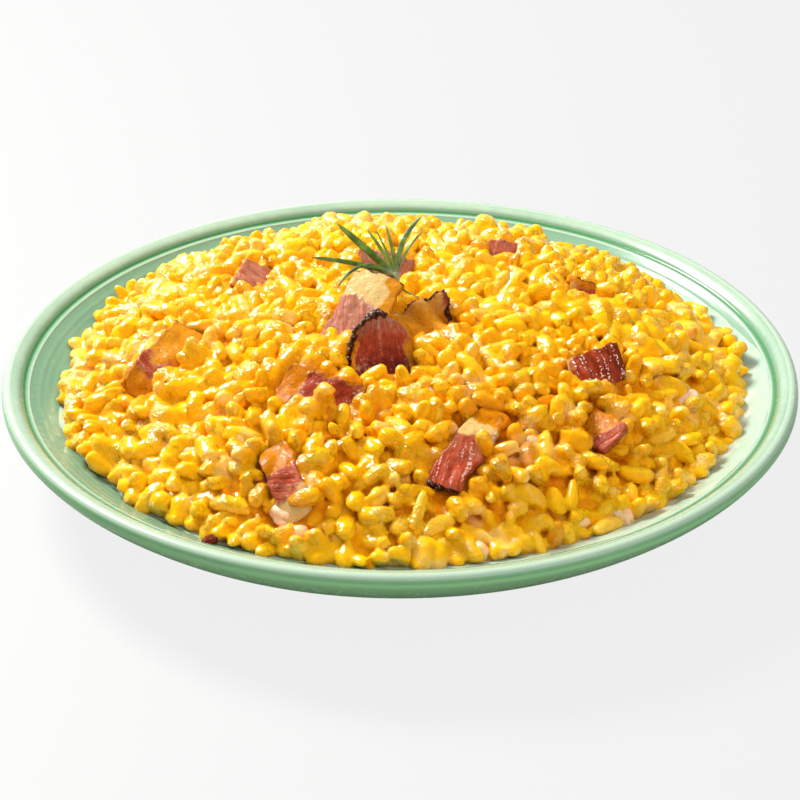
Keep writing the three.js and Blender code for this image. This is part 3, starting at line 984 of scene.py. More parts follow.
def creamy_group():
    """Uneven sauce over rice: patches of cream in the dyed colour, its gloss, and its small relief."""
    inputs = [
        ("Dyed", "NodeSocketColor"),
        ("Cream", "NodeSocketColor"),
        ("Cream Amount", "NodeSocketFloat", 0.3),
        ("Relief", "NodeSocketFloat", 0.5),
    ]
    outputs = [
        ("Color", "NodeSocketColor"),
        ("Roughness", "NodeSocketFloat"),
        ("Film", "NodeSocketFloat"),
        ("Normal", "NodeSocketVector"),
    ]
    group, given, result = new_group("Creamy coat", "ShaderNodeTree", inputs, outputs)
    place = object_place(group)
    patches = speckle(group, place, 95, 3, 0.55, 0.6)
    broad = speckle(group, place, 26, 2)
    cover = maths(group, "ADD", patches, maths(group, "MULTIPLY_ADD", broad, 0.6, -0.3))
    mask = product(group, ramp(group, cover, (0.57, 0.0), (0.74, 1.0)), given.outputs["Cream Amount"])
    tinted = mixed(group, mask, given.outputs["Dyed"], given.outputs["Cream"])
    shade = ramp(group, speckle(group, place, 620, 3, 0.6), (0.25, 0.93), (0.75, 1.0))
    clusters = ramp(group, speckle(group, place, 130, 2, 0.5), (0.5, 0.0), (0.6, 1.0))
    lumps = speckle(group, place, 480, 2, 0.5)
    pips = speckle(group, place, 1400, 1, 0.5)
    relief = maths(group, "MULTIPLY_ADD", pips, maths(group, "MULTIPLY_ADD", clusters, 1.5, 0.25), lumps)
    values = {"Strength": given.outputs["Relief"], "Distance": 0.0009, "Height": relief}
    made = {
        "Color": mixed(group, 1.0, tinted, shade, "MULTIPLY"),
        "Roughness": ramp(group, patches, (0.3, 0.06), (0.75, 0.14)),
        "Film": maths(group, "MULTIPLY_ADD", clusters, 0.65, 0.15),
        "Normal": add(group, "ShaderNodeBump", values).outputs[0],
    }
    for label, output in made.items():
        group.links.new(output, result.inputs[label])
    return group


def rice_material(name, coat, dyed, cream, cream_amount, relief, attribute):
    """Rice or sauce. attribute names what runs from the first dyed colour to the last over the piece."""
    values = {"subsurface_weight": 0.75, "subsurface_scale": 0.0018, "subsurface_radius": (0.74, 0.68, 0.1)}
    material, tree, shader = new_material(name, ior=1.5, coat_roughness=0.03, **values)
    stops = [(k / (len(dyed) - 1), tuple(rgb)) for k, rgb in enumerate(dyed)]
    base = ramp(tree, value_of(tree, attribute), *stops, smooth=False)
    inputs = {"Dyed": base, "Cream": opaque(cream), "Cream Amount": cream_amount, "Relief": relief}
    coated = add(tree, "ShaderNodeGroup", inputs, node_tree=coat).outputs
    dress(
        tree,
        shader,
        base_color=coated["Color"],
        roughness=coated["Roughness"],
        coat_weight=coated["Film"],
        normal=coated["Normal"],
        coat_normal=coated["Normal"],
    )
    return material


def near_bacon(points, toppings):
    """How near each point lies to a slice of bacon: 1 against a slice, less further away; the rice is made
    darker with it.
    """
    gaps = np.array([toppings.find_nearest(point)[3] for point in points])
    return np.exp(-gaps / NEAR_BACON_REACH)


def paint_shade_on_grains(grains, heap, toppings):
    """Paints shade on grains: lowers their tone towards amber on their lower parts, and also near the bacon.
    """
    points = points_of(grains.data)
    tones = grains.data.attributes["tone"].data
    tone = np.empty(len(points), np.float32)
    tones.foreach_get("value", tone)
    # Painted shade: each grain darker towards its lower parts, and darker near the bacon.
    below = np.clip((heap.height(points[:, 0], points[:, 1]) - 0.0006 - points[:, 2]) / 0.0034, 0, 1)
    tone = tone * (1 - below) * (1 - 0.6 * near_bacon(points, toppings))
    tones.foreach_set("value", tone.astype(np.float32))


class RISOTTO_OT_rice(Operator):
    """Makes the heap of rice: sauce that wraps all of it, and separate grains on top"""

    bl_idname = "risotto.rice"
    bl_label = "Rice"

    def execute(self, context):
        rice = context.scene.risotto_rice
        heap = rice_heap()
        bed = GrainBed(heap, rice)
        toppings = toppings_tree(context.scene.risotto_bacon)
        bed.settle(SETTLE_STEPS, toppings)
        bed.drop_skewered(toppings)
        bed.prop_up(PROPPED_GRAINS)
        drowned = bed.drown(rice.seed + 0.9)
        coat = creamy_group()
        tree = grain_tree()
        golden, amber_and_painted_shade, cream = Vector(rice.golden), Vector(rice.amber_and_painted_shade), Vector(rice.cream)
        deep = golden.lerp(amber_and_painted_shade, 0.5)
        pale = golden.lerp(cream, 0.14)
        # The sauce runs from golden on top to amber down in the crevices: painted shade, partly the colour of
        # thicker sauce.
        sauce = rice_material("Pumpkin sauce", coat, [golden, deep, amber_and_painted_shade], cream, 0.3, 0.5, "depth")
        # A grain's tone runs from amber to pale; its lower parts are pushed to amber as painted shade.
        coated = rice_material("Coated rice", coat, [amber_and_painted_shade, golden, pale], cream, 0.3, 0.5, "tone")
        wrap = sauce_bed(heap, bed, rice, tree, sauce)
        points = points_of(wrap.data)
        # depth, which colours the sauce, is painted shade in the crevices, and also makes the sauce darker
        # near the bacon and in front of the middle.
        depth = sauce_depth(points, heap, bed) + 0.6 * near_bacon(points, toppings)
        depth = depth + 0.25 * standing_clear(points[:, 0], points[:, 1])
        point_attribute(wrap.data, "depth", np.clip(depth, 0, 1))
        finish_piece(wrap, "rice", "risotto")
        top = np.nonzero((bed.depth < rice.layer_depth) & ~drowned)[0]
        grains = lay_grains("rice_grains", bed, top, rice, tree, coated, width=1.05)
        paint_shade_on_grains(grains, heap, toppings)
        finish_piece(grains, "rice")
        return {"FINISHED"}


# ---------- bacon ----------

# What each slice says, with lengths in metres, angles in degrees, and bearings from its far end round to
# its left:
#   turn      its roll, pitch and heading
#   shift     how far its middle lies from its CAD node's
#   size      its length and width; far and near are the ends of its length, left and right its sides
#   bend      how far it curves along its length
#   cup       how far it curves across its width
#   round_end how much its far end narrows, up to 1
#   ripple, crumple, ridges, blisters   how high its waves, its creases, its ribs and its burnt blisters are
#   fried     how far it is fried at its near and at its far end, 0 for pink and 1 for dark
#   fibre     the bearing of its fibres
#   fat       zones: the bearing that each lies towards, where it starts as a share of the half size,
#             and its tone, 0 for pale, 0.5 for golden and 1 for crisp
#   burnt     edges: the name of each, where it starts and ends along that edge, and how far in it reaches
#   bubbles   how many burnt bubbles it has
#   shine  how strongly painted highlights, white dots for light on beads of grease, show on its lean
SLICES = {
    "bacon_fat_slab": {
        "turn": (4, 33, 59),
        "shift": (-0.0020, -0.0012, -0.0008),
        "size": (0.0325, 0.0165),
        "cup": 14,
        "fried": (0.2, 0.1),
        "fibre": 20,
        "fat": ((0, 0.42, 0.03), (-70, 0.76, 0.5)),
        "shine": 0.1,
        "burnt": (("far", -1, 1, 0.0007),),
        "crumple": 0.0002,
    },
    "bacon_charred_curl": {
        "turn": (0, 52, 92),
        "shift": (0.0015, 0.0, 0.0),
        "size": (0.0185, 0.0215),
        "bend": -20,
        "cup": 118,
        "fried": (1.1, 0.1),
        "shine": 0.08,
        "fibre": 4,
        "fat": ((0, 0.82, 0.95), (-90, 0.72, 0.6), (90, 0.8, 0.95)),
        "burnt": (("far", -0.2, 1, 0.0021), ("left", -0.6, 1, 0.0019)),
        "blisters": 0.0008,
        "round_end": 1.0,
        "bubbles": 260,
    },
    "bacon_crumpled": {
        "turn": (30, 9, 14),
        "shift": (-0.0006, 0.0, -0.0010),
        "size": (0.0165, 0.012),
        "bend": 30,
        "ripple": 0.0013,
        "fried": (0.8, 0.7),
        "shine": 0.4,
        "fibre": 90,
        "fat": ((180, -0.9, 0.3), (-90, -0.3, 0.5)),
        "burnt": (("left", -0.7, 1, 0.0005), ("far", -0.2, 1, 0.0005)),
        "blisters": 0.0006,
        "crumple": 0.0036,
        "bubbles": 30,
    },
    "bacon_behind_sprig": {
        "turn": (54, -6, -20),
        "shift": (-0.0026, -0.0022, -0.0006),
        "size": (0.0175, 0.0105),
        "bend": 20,
        "fried": (-0.8, -0.8),
        "fibre": 90,
        "fat": (),
        "burnt": (),
    },
    "bacon_back_left": {
        "turn": (22, 12, 74),
        "shift": (0.0, -0.0016, 0.0),
        "size": (0.0145, 0.0095),
        "bend": 20,
        "fried": (0.2, 0.2),
        "fibre": 80,
        "fat": ((180, 0.62, 0.7),),
        "burnt": (("near", -1, 1, 0.0003),),
    },
    "bacon_left": {
        "turn": (22, 22, 54),
        "shift": (0.0002, 0.0, 0.0005),
        "size": (0.028, 0.0102),
        "bend": 44,
        "fried": (0.42, 0.42),
        "fibre": 75,
        "fat": ((0, -0.08, 0.5), (180, 0.62, 0.75)),
        "burnt": (("far", -1, 1, 0.0005), ("right", 0.2, 1, 0.0004)),
        "crumple": 0.0012,
    },
    "bacon_middle_left": {
        "turn": (34, -7, -24),
        "shift": (-0.0003, -0.0016, -0.0016),
        "size": (0.0235, 0.0135),
        "bend": 28,
        "cup": -20,
        "fried": (0.6, 0.75),
        "shine": 0.3,
        "fibre": 60,
        "fat": ((172, 0.58, 0.95), (90, 0.82, 1.0), (0, 0.76, 0.95)),
        "burnt": (("far", -1, 1, 0.0005),),
        "blisters": 0.0004,
        "bubbles": 26,
    },
    "bacon_front_left": {
        "turn": (-26, 22, 112),
        "size": (0.024, 0.0095),
        "bend": 52,
        "fried": (0.42, 0.42),
        "fibre": 65,
        "fat": ((0, 0.2, 1.0), (180, 0.42, 0.0)),
        "burnt": (("far", -1, 1, 0.0004), ("left", 0.1, 1, 0.0006)),
        "crumple": 0.0014,
    },
    "bacon_front_middle": {
        "turn": (8, 14, 59),
        "size": (0.031, 0.0095),
        "bend": 34,
        "fried": (0.52, 0.28),
        "shine": 0.35,
        "fibre": 15,
        "fat": ((8, 0.2, 0.1), (0, 0.62, 0.9)),
        "burnt": (("near", -1, 1, 0.0006),),
        "blisters": 0.0004,
        "bubbles": 22,
        "crumple": 0.0010,
    },
    "bacon_right": {
        "turn": (40, 2, 30),
        "size": (0.0175, 0.0115),
        "bend": 26,
        "ripple": 0.0004,
        "fried": (0.42, 0.8),
        "shine": 1.0,
        "fibre": 92,
        "fat": ((170, 0.86, 0.2),),
        "burnt": (("far", -1, 1, 0.0003),),
        "ridges": 0.0013,
    },
    "bacon_front_right": {
        "turn": (28, 0, -52),
        "shift": (0.0, 0.0006, -0.0012),
        "size": (0.0135, 0.0105),
        "cup": 20,
        "fried": (0.42, 0.42),
        "fibre": 70,
        "fat": ((165, -0.15, 0.9),),
        "burnt": (),
    },
    "bacon_back_right": {
        "turn": (60, -8, -16),
        "shift": (-0.0026, -0.0012, -0.0010),
        "size": (0.0078, 0.0088),
        "bend": 22,
        "fried": (0.5, 0.5),
        "fibre": 90,
        "fat": ((180, 0.5, 0.2), (90, 0.6, 0.9)),
        "burnt": (("left", -0.6, 1, 0.0003),),
    },
    "bacon_back": {
        "turn": (50, -3, -14),
        "shift": (0.0, -0.0038, -0.0004),
        "size": (0.0095, 0.0085),
        "bend": 20,
        "fried": (0.3, 0.3),
        "fibre": 90,
        "fat": (),
        "burnt": (),
    },
}
BUBBLE_SEED = 5
OUTLINE_WAVER = 0.0011  # how far a slice's sides stray from straight
# Which of the two half sizes leads to each edge, and in which direction.
EDGES = {"far": (0, 1), "near": (0, -1), "left": (1, 1), "right": (1, -1)}


def stations(size, bacon):
    """Places along one side of a slice, closer together where its rim is round."""
    rim = bacon.round_edge * (1 - np.cos(np.linspace(0, math.pi / 2, 5)))[:-1]
    inner = size / 2 - bacon.round_edge
    middle = np.linspace(-inner, inner, max(4, round(2 * inner / bacon.mesh_step)))
    return np.concatenate([rim - size / 2, middle, (size / 2 - rim)[::-1]])


def arc(place, size, degrees):
    """Bends a straight side of that size through an angle: where a place on it goes, and how far it drops."""
    if not degrees:
        return place, 0 * place
    radius = size / math.radians(degrees)
    return radius * np.sin(place / radius), radius * (np.cos(place / radius) - 1)


def slice_looks(cut, x, y, u, v, seed):
    """Over a slice: where it is fat, the tone of its fat, its char, its browned rims and how fried it is."""
    waver = noise_at(x, y, 0.004, 0.004, seed + 0.1) * 0.3
    waver = waver + noise_at(x, y, 0.0011, 0.0011, seed + 0.2) * 0.1
    fat = np.zeros_like(x)
    tone = np.zeros_like(x)
    for bearing, start, shade in cut["fat"]:
        turn = math.radians(bearing)
        towards = u * math.cos(turn) + v * math.sin(turn)
        zone = smooth_step(-0.07, 0.07, towards - start + waver)
        tone = np.where(zone > 0.02, tone * (1 - zone) + shade * zone, tone)
        fat = np.maximum(fat, zone)
    char = np.zeros_like(x)
    half = np.array(cut["size"]) / 2
    for name, low, high, reach in cut["burnt"]:
        side, sign = EDGES[name]
        here, along = ((u, v), (v, u))[side]
        gap = (1 - sign * here) * half[side]
        within = smooth_step(low - 0.1, low + 0.1, along) * smooth_step(-high - 0.1, 0.1 - high, -along)
        ragged = reach * (1 + 0.7 * noise_at(x, y, 0.0016, 0.0016, seed + 0.3))
        char = np.maximum(char, within * smooth_step(0, 1, 1.5 - gap / np.maximum(ragged, 0.0001)))
    border = np.minimum((1 - np.abs(u)) * half[0], (1 - np.abs(v)) * half[1])
    brown = np.exp(-border / 0.0011) * (0.55 + 0.45 * noise_at(x, y, 0.003, 0.003, seed + 0.4))
    fried = np.interp(u, (-1, 1), cut["fried"])
    return {"fat": fat, "tone": tone, "char": char, "brown": np.clip(brown, 0, 1), "fried": fried}


def slice_outline(cut, x, y, u, v, seed):
    """Where the points of a flat slice lie once its corners are cut and its sides stray from straight."""
    rounding = cut.get("round_end", 0) * np.clip((u + 0.6) / 1.6, 0, 1) ** 2
    corner = 0.07 * (u * v) ** 4
    stray_x = OUTLINE_WAVER * u * u * noise_at(y, u, 0.0065, 3, seed + 0.15)
    stray_y = OUTLINE_WAVER * v * v * noise_at(x, v, 0.0065, 3, seed + 0.25)
    return x * (1 - 0.3 * rounding * v**2 - corner) + stray_x, y * (1 - 0.5 * rounding - corner) + stray_y


def slice_waves(cut, x, y, u, v, seed):
    """How far creases and ripples lift a slice out of its smooth curve."""
    crumple = cut.get("crumple", 0.0006)
    wave = noise_at(x, y, 0.008, 0.008, seed + 0.9) * crumple
    wave = wave + noise_at(x, y, 0.0035, 0.0035, seed + 1.0) * crumple * 0.35
    return wave + cut.get("ripple", 0) * np.sin(7 * u + 3 * v)


def shell_faces(rows, columns):
    """Faces of two sheets of points that share their rim, and which points lie inside that rim."""
    upper = np.arange(rows * columns).reshape(rows, columns)
    inner = np.zeros((rows, columns), bool)
    inner[1:-1, 1:-1] = True
    lower = upper.copy()
    lower[inner] = upper.size + np.arange(inner.sum())
    faces = []
    for i in range(rows - 1):
        for j in range(columns - 1):
            faces.append((upper[i, j], upper[i + 1, j], upper[i + 1, j + 1], upper[i, j + 1]))
            faces.append((lower[i, j], lower[i, j + 1], lower[i + 1, j + 1], lower[i + 1, j]))
    return faces, inner


def slice_shape(cut, bacon, seed):
    """Points, faces and point values of a slice of bacon that is turned but not yet in its place."""
    long, wide = cut["size"]
    x, y = np.meshgrid(stations(long, bacon), stations(wide, bacon), indexing="ij")
    u, v = 2 * x / long, 2 * y / wide
    border = np.minimum((1 - np.abs(u)) * long / 2, (1 - np.abs(v)) * wide / 2)
    looks = slice_looks(cut, x, y, u, v, seed)
    flat_x, flat_y = slice_outline(cut, x, y, u, v, seed)
    fray = 0.0008 * np.exp(-border / 0.0014) * noise_at(x, y, 0.0024, 0.0024, seed + 0.5)
    bent_x, drop_x = arc(flat_x + fray * u**3, long, cut.get("bend", 0))
    bent_y, drop_y = arc(flat_y + fray * v**3, wide, cut.get("cup", 0))
    wave = slice_waves(cut, x, y, u, v, seed)
    middle = np.stack([bent_x, bent_y, drop_x + drop_y + wave], axis=2)
    normal = np.cross(np.gradient(middle, axis=0), np.gradient(middle, axis=1))
    normal /= np.linalg.norm(normal, axis=2, keepdims=True)
    turn = math.radians(cut["fibre"])
    along = x * math.cos(turn) + y * math.sin(turn)
    across = y * math.cos(turn) - x * math.sin(turn)
    ribs = noise_at(across, along, 0.0015, 0.012, seed + 0.6) * (1 - looks["fat"])
    ridge = ribs * cut.get("ridges", 0.00022)
    knobs = np.abs(noise_at(x, y, 0.0009, 0.0009, seed + 0.7)) * looks["char"]
    blister = knobs * cut.get("blisters", 0.0003) * 2
    dimple = noise_at(x, y, 0.003, 0.003, seed + 0.8) * 0.00022
    thin = np.sqrt(1 - (1 - np.clip(border / bacon.round_edge, 0, 1)) ** 2)
    half = bacon.thickness / 2
    top = middle + normal * (thin * (half + ridge + dimple + blister))[..., None]
    bottom = middle - normal * (thin * (half - ridge + dimple + blister))[..., None]
    faces, inner = shell_faces(*x.shape)
    points = np.concatenate([top.reshape(-1, 3), bottom[inner]])
    # Strength of the painted highlights on the lean.
    looks["shine"] = np.full_like(x, cut.get("shine", 0.12))
    looks["fibres"] = np.stack([across, along, np.full_like(x, seed * 0.01)], axis=2)
    for name, values in looks.items():
        on_top = values.reshape(x.size, *values.shape[2:])
        looks[name] = np.concatenate([on_top, values[inner]])
    roll, pitch, heading = (math.radians(a) for a in cut["turn"])
    turned = points @ np.array(Euler((roll, -pitch, heading)).to_matrix()).T
    return turned, faces, looks


@lru_cache(maxsize=1)
def placed_slices(bacon):
    """Points, faces and looks of every slice in its place, by the name of its CAD node."""
    placed = {}
    for seed, (node, cut) in enumerate(SLICES.items(), 1):
        points, faces, looks = slice_shape(cut, bacon, seed)
        low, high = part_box(node)
        middle = (np.array(low) + np.array(high)) / 2 + cut.get("shift", (0, 0, 0))
        placed[node] = (points + middle - (points.min(0) + points.max(0)) / 2, faces, looks)
    return placed


def slice_object(name, points, faces, looks, material):
    """A slice of bacon as an object with its looks as attributes."""
    piece = mesh_object(name, points, faces)
    for label, values in looks.items():
        point_attribute(piece.data, label, values, "FLOAT_VECTOR" if values.ndim == 2 else "FLOAT")
    piece.data.materials.append(material)
    return piece


def lean_colour(tree, bacon, fibres, cloud, strand):
    """Lean meat, darker as it is fried, streaked along its fibres, and marbled with fat while it is rare."""
    darkness = maths(tree, "ADD", value_of(tree, "fried"), maths(tree, "MULTIPLY_ADD", cloud, 0.7, -0.35))
    tones = (bacon.pink_lean, bacon.red_lean, bacon.dark_lean)
    lean = ramp(tree, darkness, *zip((0.12, 0.5, 0.95), map(tuple, tones)), smooth=False)
    lean = mixed(tree, 1.0, lean, ramp(tree, strand, (0.3, 0.7), (0.7, 1.15)), "MULTIPLY")
    veins = add(tree, "ShaderNodeMapping", {"Vector": fibres, "Scale": (330.0, 90.0, 1000.0)})
    marbling = ramp(tree, speckle(tree, veins, 1.0, 3, 0.6, 0.8), (0.60, 0.0), (0.74, 0.7))
    rare = maths(tree, "SUBTRACT", 1.0, value_of(tree, "fried"))
    return mixed(tree, product(tree, marbling, rare), lean, opaque(Vector(bacon.pale_fat) * 0.8))


def fat_colour(tree, bacon, place, cloud, fine, toast):
    """Fat of its own tone, with toasted specks where it is crisp."""
    tone = maths(tree, "ADD", value_of(tree, "tone"), maths(tree, "MULTIPLY_ADD", cloud, 0.6, -0.3))
    tones = (bacon.pale_fat, bacon.gold_fat, bacon.crisp_fat)
    fat = ramp(tree, tone, *zip((0.0, 0.45, 1.0), map(tuple, tones)))
    fat = mixed(tree, 1.0, fat, ramp(tree, fine, (0.3, 0.88), (0.7, 1.04)), "MULTIPLY")
    specks = ramp(tree, speckle(tree, place, 900, 1), (0.64, 0.0), (0.69, 0.9))
    return mixed(tree, product(tree, specks, value_of(tree, "tone")), fat, opaque(toast))


def browned(tree, bacon, flesh, fine, toast):
    """Flesh toasted along its rims and burnt where there is char."""
    flesh = mixed(tree, product(tree, value_of(tree, "brown"), 0.45), flesh, opaque(toast))
    speckled = maths(tree, "ADD", value_of(tree, "char"), maths(tree, "MULTIPLY_ADD", fine, 0.9, -0.45))
    scorched = Vector(bacon.char).lerp(toast, 0.18)
    flesh = mixed(tree, ramp(tree, speckled, (0.25, 0.0), (0.5, 1.0)), flesh, opaque(scorched))
    return mixed(tree, ramp(tree, speckled, (0.6, 0.0), (0.85, 1.0)), flesh, opaque(bacon.char))


def painted_glint_mask(tree, place, fibres, meat):
    """How much of the lean is painted with highlights: white dots in rows along its fibres that stand in for
    light caught by beads of grease.
    """
    rows = add(tree, "ShaderNodeMapping", {"Vector": fibres, "Scale": (620.0, 60.0, 1000.0)})
    beads = maths(tree, "ADD", speckle(tree, rows, 1.0, 1), speckle(tree, place, 1500, 2, 0.6))
    painted_glints = ramp(tree, product(tree, beads, 0.5), (0.57, 0.0), (0.61, 1.0))
    return product(tree, painted_glints, value_of(tree, "shine"), meat)


def bacon_material(bacon):
    """Fried bacon: streaked lean, clearer fat, browned rims and speckled char under a film of grease, with
    painted highlights, white dots, on the lean.
    """
    values = {"subsurface_weight": 0.25, "subsurface_scale": 0.0012, "subsurface_radius": (1.0, 0.35, 0.15)}
    gloss = {"ior": 1.4, "specular_ior_level": 0.06, "coat_roughness": 0.06}
    material, tree, shader = new_material("Fried bacon", **values, **gloss)
    fibres = add(tree, "ShaderNodeAttribute", attribute_name="fibres").outputs["Vector"]
    place = object_place(tree)
    strands = add(tree, "ShaderNodeMapping", {"Vector": fibres, "Scale": (1400.0, 150.0, 1000.0)})
    strand = speckle(tree, strands, 1.0, 2, 0.55, 0.6)
    cloud = speckle(tree, place, 420, 3, 0.6)
    fine = speckle(tree, place, 1900, 2, 0.6)
    toast = Vector(bacon.crisp_fat).lerp(Vector(bacon.dark_lean), 0.6)
    lean = lean_colour(tree, bacon, fibres, cloud, strand)
    fat = fat_colour(tree, bacon, place, cloud, fine, toast)
    flesh = browned(tree, bacon, mixed(tree, value_of(tree, "fat"), lean, fat), fine, toast)
    meat = maths(tree, "MULTIPLY_ADD", value_of(tree, "fat"), -0.85, 1.0)
    painted_glints = painted_glint_mask(tree, place, fibres, meat)
    # The base colour carries painted highlights: white dots mixed in where painted_glints says.
    dress(
        tree,
        shader,
        base_color=mixed(tree, painted_glints, flesh, opaque(bacon.painted_glint)),
        roughness=ramp(tree, cloud, (0.3, 0.2), (0.75, 0.34)),
        coat_weight=ramp(tree, speckle(tree, place, 1300, 2), (0.56, 0.0), (0.62, 0.5)),
    )
    knobs = speckle(tree, place, 760, 2, 0.55)
    relief = maths(tree, "ADD", product(tree, strand, meat), product(tree, fine, 0.6))
    emboss(tree, shader, 0.6, 0.0004, maths(tree, "ADD", relief, knobs), coat=True)
    return material


def bit_tree():
    """Geometry nodes that put an uneven little lump at each point, as big each way as the point says."""
    tree, given, result = geometry_group(
        "Scattered bits",
        ("Unevenness", "NodeSocketFloat", 0.4),
        ("Fineness", "NodeSocketFloat", 1500.0),
        ("Subdivisions", "NodeSocketInt", 2),
        ("Seed", "NodeSocketInt", 0),
    )
    ball = {"Radius": 1.0, "Subdivisions": given.outputs["Subdivisions"]}
    lump = add(tree, "GeometryNodeMeshIcoSphere", ball)
    whole_turn = {"Max": (2 * math.pi,) * 3, "Seed": given.outputs["Seed"]}
    spin = add(tree, "FunctionNodeRandomValue", whole_turn, data_type="FLOAT_VECTOR")
    each = {"Points": given.outputs["Geometry"], "Instance": lump, "Rotation": spin.outputs[0]}
    each["Scale"] = stored(tree, "size", "FLOAT_VECTOR")
    laid = add(tree, "GeometryNodeInstanceOnPoints", each)
    real = add(tree, "GeometryNodeRealizeInstances", {0: laid})
    texture = add(tree, "ShaderNodeTexNoise", {"Scale": given.outputs["Fineness"], "Detail": 1.0})
    uneven = maths(tree, "SUBTRACT", texture.outputs[0], 0.5)
    dent = product(tree, uneven, given.outputs["Unevenness"], 0.001)
    smooth = add(tree, "GeometryNodeSetShadeSmooth", {0: pushed_out(tree, real, dent)})
    give_back(tree, smooth, given, result)
    return tree


def scatter_bits(name, places, sizes, material, **values):
    """One piece of little lumps at places, with their sizes each way."""
    piece = mesh_object(name, places, [], smooth=False)
    point_attribute(piece.data, "size", sizes, "FLOAT_VECTOR")
    return grow(piece, bit_tree(), material=material, **values)


def char_material(bacon):
    """Glassy burnt bubbles, from nearly black to dark red-brown."""
    values = {"roughness": 0.22, "coat_weight": 0.5, "coat_roughness": 0.06}
    material, tree, shader = new_material("Burnt bubbles", **values)
    place = object_place(tree)
    cloud = speckle(tree, place, 900, 3, 0.6)
    brown = Vector(bacon.char).lerp(Vector(bacon.red_lean), 0.25)
    dress(tree, shader, base_color=ramp(tree, cloud, (0.4, tuple(bacon.char)), (0.7, tuple(brown))))
    emboss(tree, shader, 0.5, 0.0002, speckle(tree, place, 3000, 2))
    return material


class RISOTTO_OT_bacon(Operator):
    """Makes the slices of fried bacon, and the burnt bubbles along their edges"""

    bl_idname = "risotto.bacon"
    bl_label = "Bacon"

    def execute(self, context):
        bacon = context.scene.risotto_bacon
        material = bacon_material(bacon)
        rng = np.random.default_rng(BUBBLE_SEED)
        bubbles = []
        for node, (points, faces, looks) in placed_slices(bacon).items():
            piece = slice_object(node.replace("bacon", "slice"), points, faces, looks, material)
            finish_piece(piece, "bacon", node)
            burnt = points[looks["char"] > 0.8]
            if len(burnt):
                count = min(SLICES[node].get("bubbles", 0), len(burnt))
                bubbles.append(burnt[rng.choice(len(burnt), count, replace=False)])
        places = np.concatenate(bubbles)
        places = places + rng.normal(0, 0.00015, places.shape)
        sizes = np.repeat(rng.uniform(0.0002, bacon.bubble / 2, (len(places), 1)), 3, axis=1)
        beads = scatter_bits("burnt_bubbles", places, sizes, char_material(bacon), unevenness=0.25)
        finish_piece(beads, "bacon")
        return {"FINISHED"}


# ---------- rosemary ----------

STEM_FOOT = Vector((-0.0004, 0.003, 0.043))
STEM_TOP = Vector((-0.0013, 0.004, 0.0543))
NEEDLE_ROOT = STEM_FOOT.lerp(STEM_TOP, 0.88)
# Each needle passes a point on its way to its tip, and has a width as a share of the usual one, an age,
# 0 for fresh and 1 for old, and a twist in degrees.
NEEDLES = (
    ((-0.0092, 0.0055, 0.0602), (-0.0180, 0.0080, 0.0676), 1.3, 0.3, -50),
    ((-0.0130, 0.0045, 0.0566), (-0.0253, 0.0025, 0.0594), 1.0, 0.45, -30),
    ((-0.0105, 0.0010, 0.0576), (-0.0176, -0.0050, 0.0537), 0.72, 0.6, -20),
    ((-0.0052, 0.0084, 0.0590), (-0.0094, 0.0120, 0.0636), 0.68, 0.1, -20),
    ((-0.0038, 0.0052, 0.0600), (-0.0068, 0.0060, 0.0663), 0.62, 0.0, 0),
    ((-0.0022, 0.0070, 0.0602), (-0.0042, 0.0090, 0.0668), 0.68, 0.15, 0),
    ((0.0010, 0.0062, 0.0630), (0.0064, 0.0100, 0.0690), 0.95, 0.9, 30),
    ((0.0020, 0.0042, 0.0608), (0.0066, 0.0040, 0.0670), 0.62, 1.0, 20),
    ((0.0012, 0.0046, 0.0480), (0.0062, 0.0010, 0.0474), 0.5, 0.4, 0),
)
NEEDLE_STATIONS = 18


def needle_tree():
    """Geometry nodes that sweep a grooved leaf section along edges, as wide at each point as it says."""
    tree, given, result = geometry_group(
        "Needles",
        ("Needle Width", "NodeSocketFloat", 0.0021),
        ("Thickness Share", "NodeSocketFloat", 0.5),
    )
    line = add(tree, "GeometryNodeMeshToCurve", {0: given.outputs["Geometry"]})
    upright = add(tree, "GeometryNodeSetCurveNormal", {0: line}, mode="Z_UP")
    turned = add(tree, "GeometryNodeSetCurveTilt", {0: upright, "Tilt": stored(tree, "twist")})
    ring = add(tree, "GeometryNodeCurvePrimitiveCircle", {"Resolution": 16, "Radius": 1.0})
    x, y, _ = add(tree, "ShaderNodeSeparateXYZ", {0: add(tree, "GeometryNodeInputPosition")}).outputs
    half = product(tree, given.outputs["Needle Width"], -0.5)
    tall = product(tree, half, given.outputs["Thickness Share"])
    roof = maths(tree, "SUBTRACT", y, product(tree, x, x, 0.55))
    groove = maths(tree, "SUBTRACT", 1.0, product(tree, maths(tree, "ABSOLUTE", x), 3.0))
    groove = product(tree, maths(tree, "MAXIMUM", groove, 0.0), stored(tree, "upper"))
    roof = maths(tree, "SUBTRACT", roof, product(tree, groove, 0.45))
    section = {"X": product(tree, x, half), "Y": product(tree, roof, tall)}
    upper = {"Geometry": ring.outputs[0], "Name": "upper", "Value": maths(tree, "GREATER_THAN", y, 0.1)}
    marked = add(tree, "GeometryNodeStoreNamedAttribute", upper, data_type="FLOAT", domain="POINT")
    shape = {"Geometry": marked, "Position": add(tree, "ShaderNodeCombineXYZ", section)}
    leaf = add(tree, "GeometryNodeSetPosition", shape)
    sweep = {"Curve": turned, "Profile Curve": leaf, "Scale": stored(tree, "swell"), "Fill Caps": True}
    swept = add(tree, "GeometryNodeCurveToMesh", sweep)
    smooth = add(tree, "GeometryNodeSetShadeSmooth", {0: swept})
    give_back(tree, add(tree, "GeometryNodeRealizeInstances", {0: smooth}), given, result)
    return tree


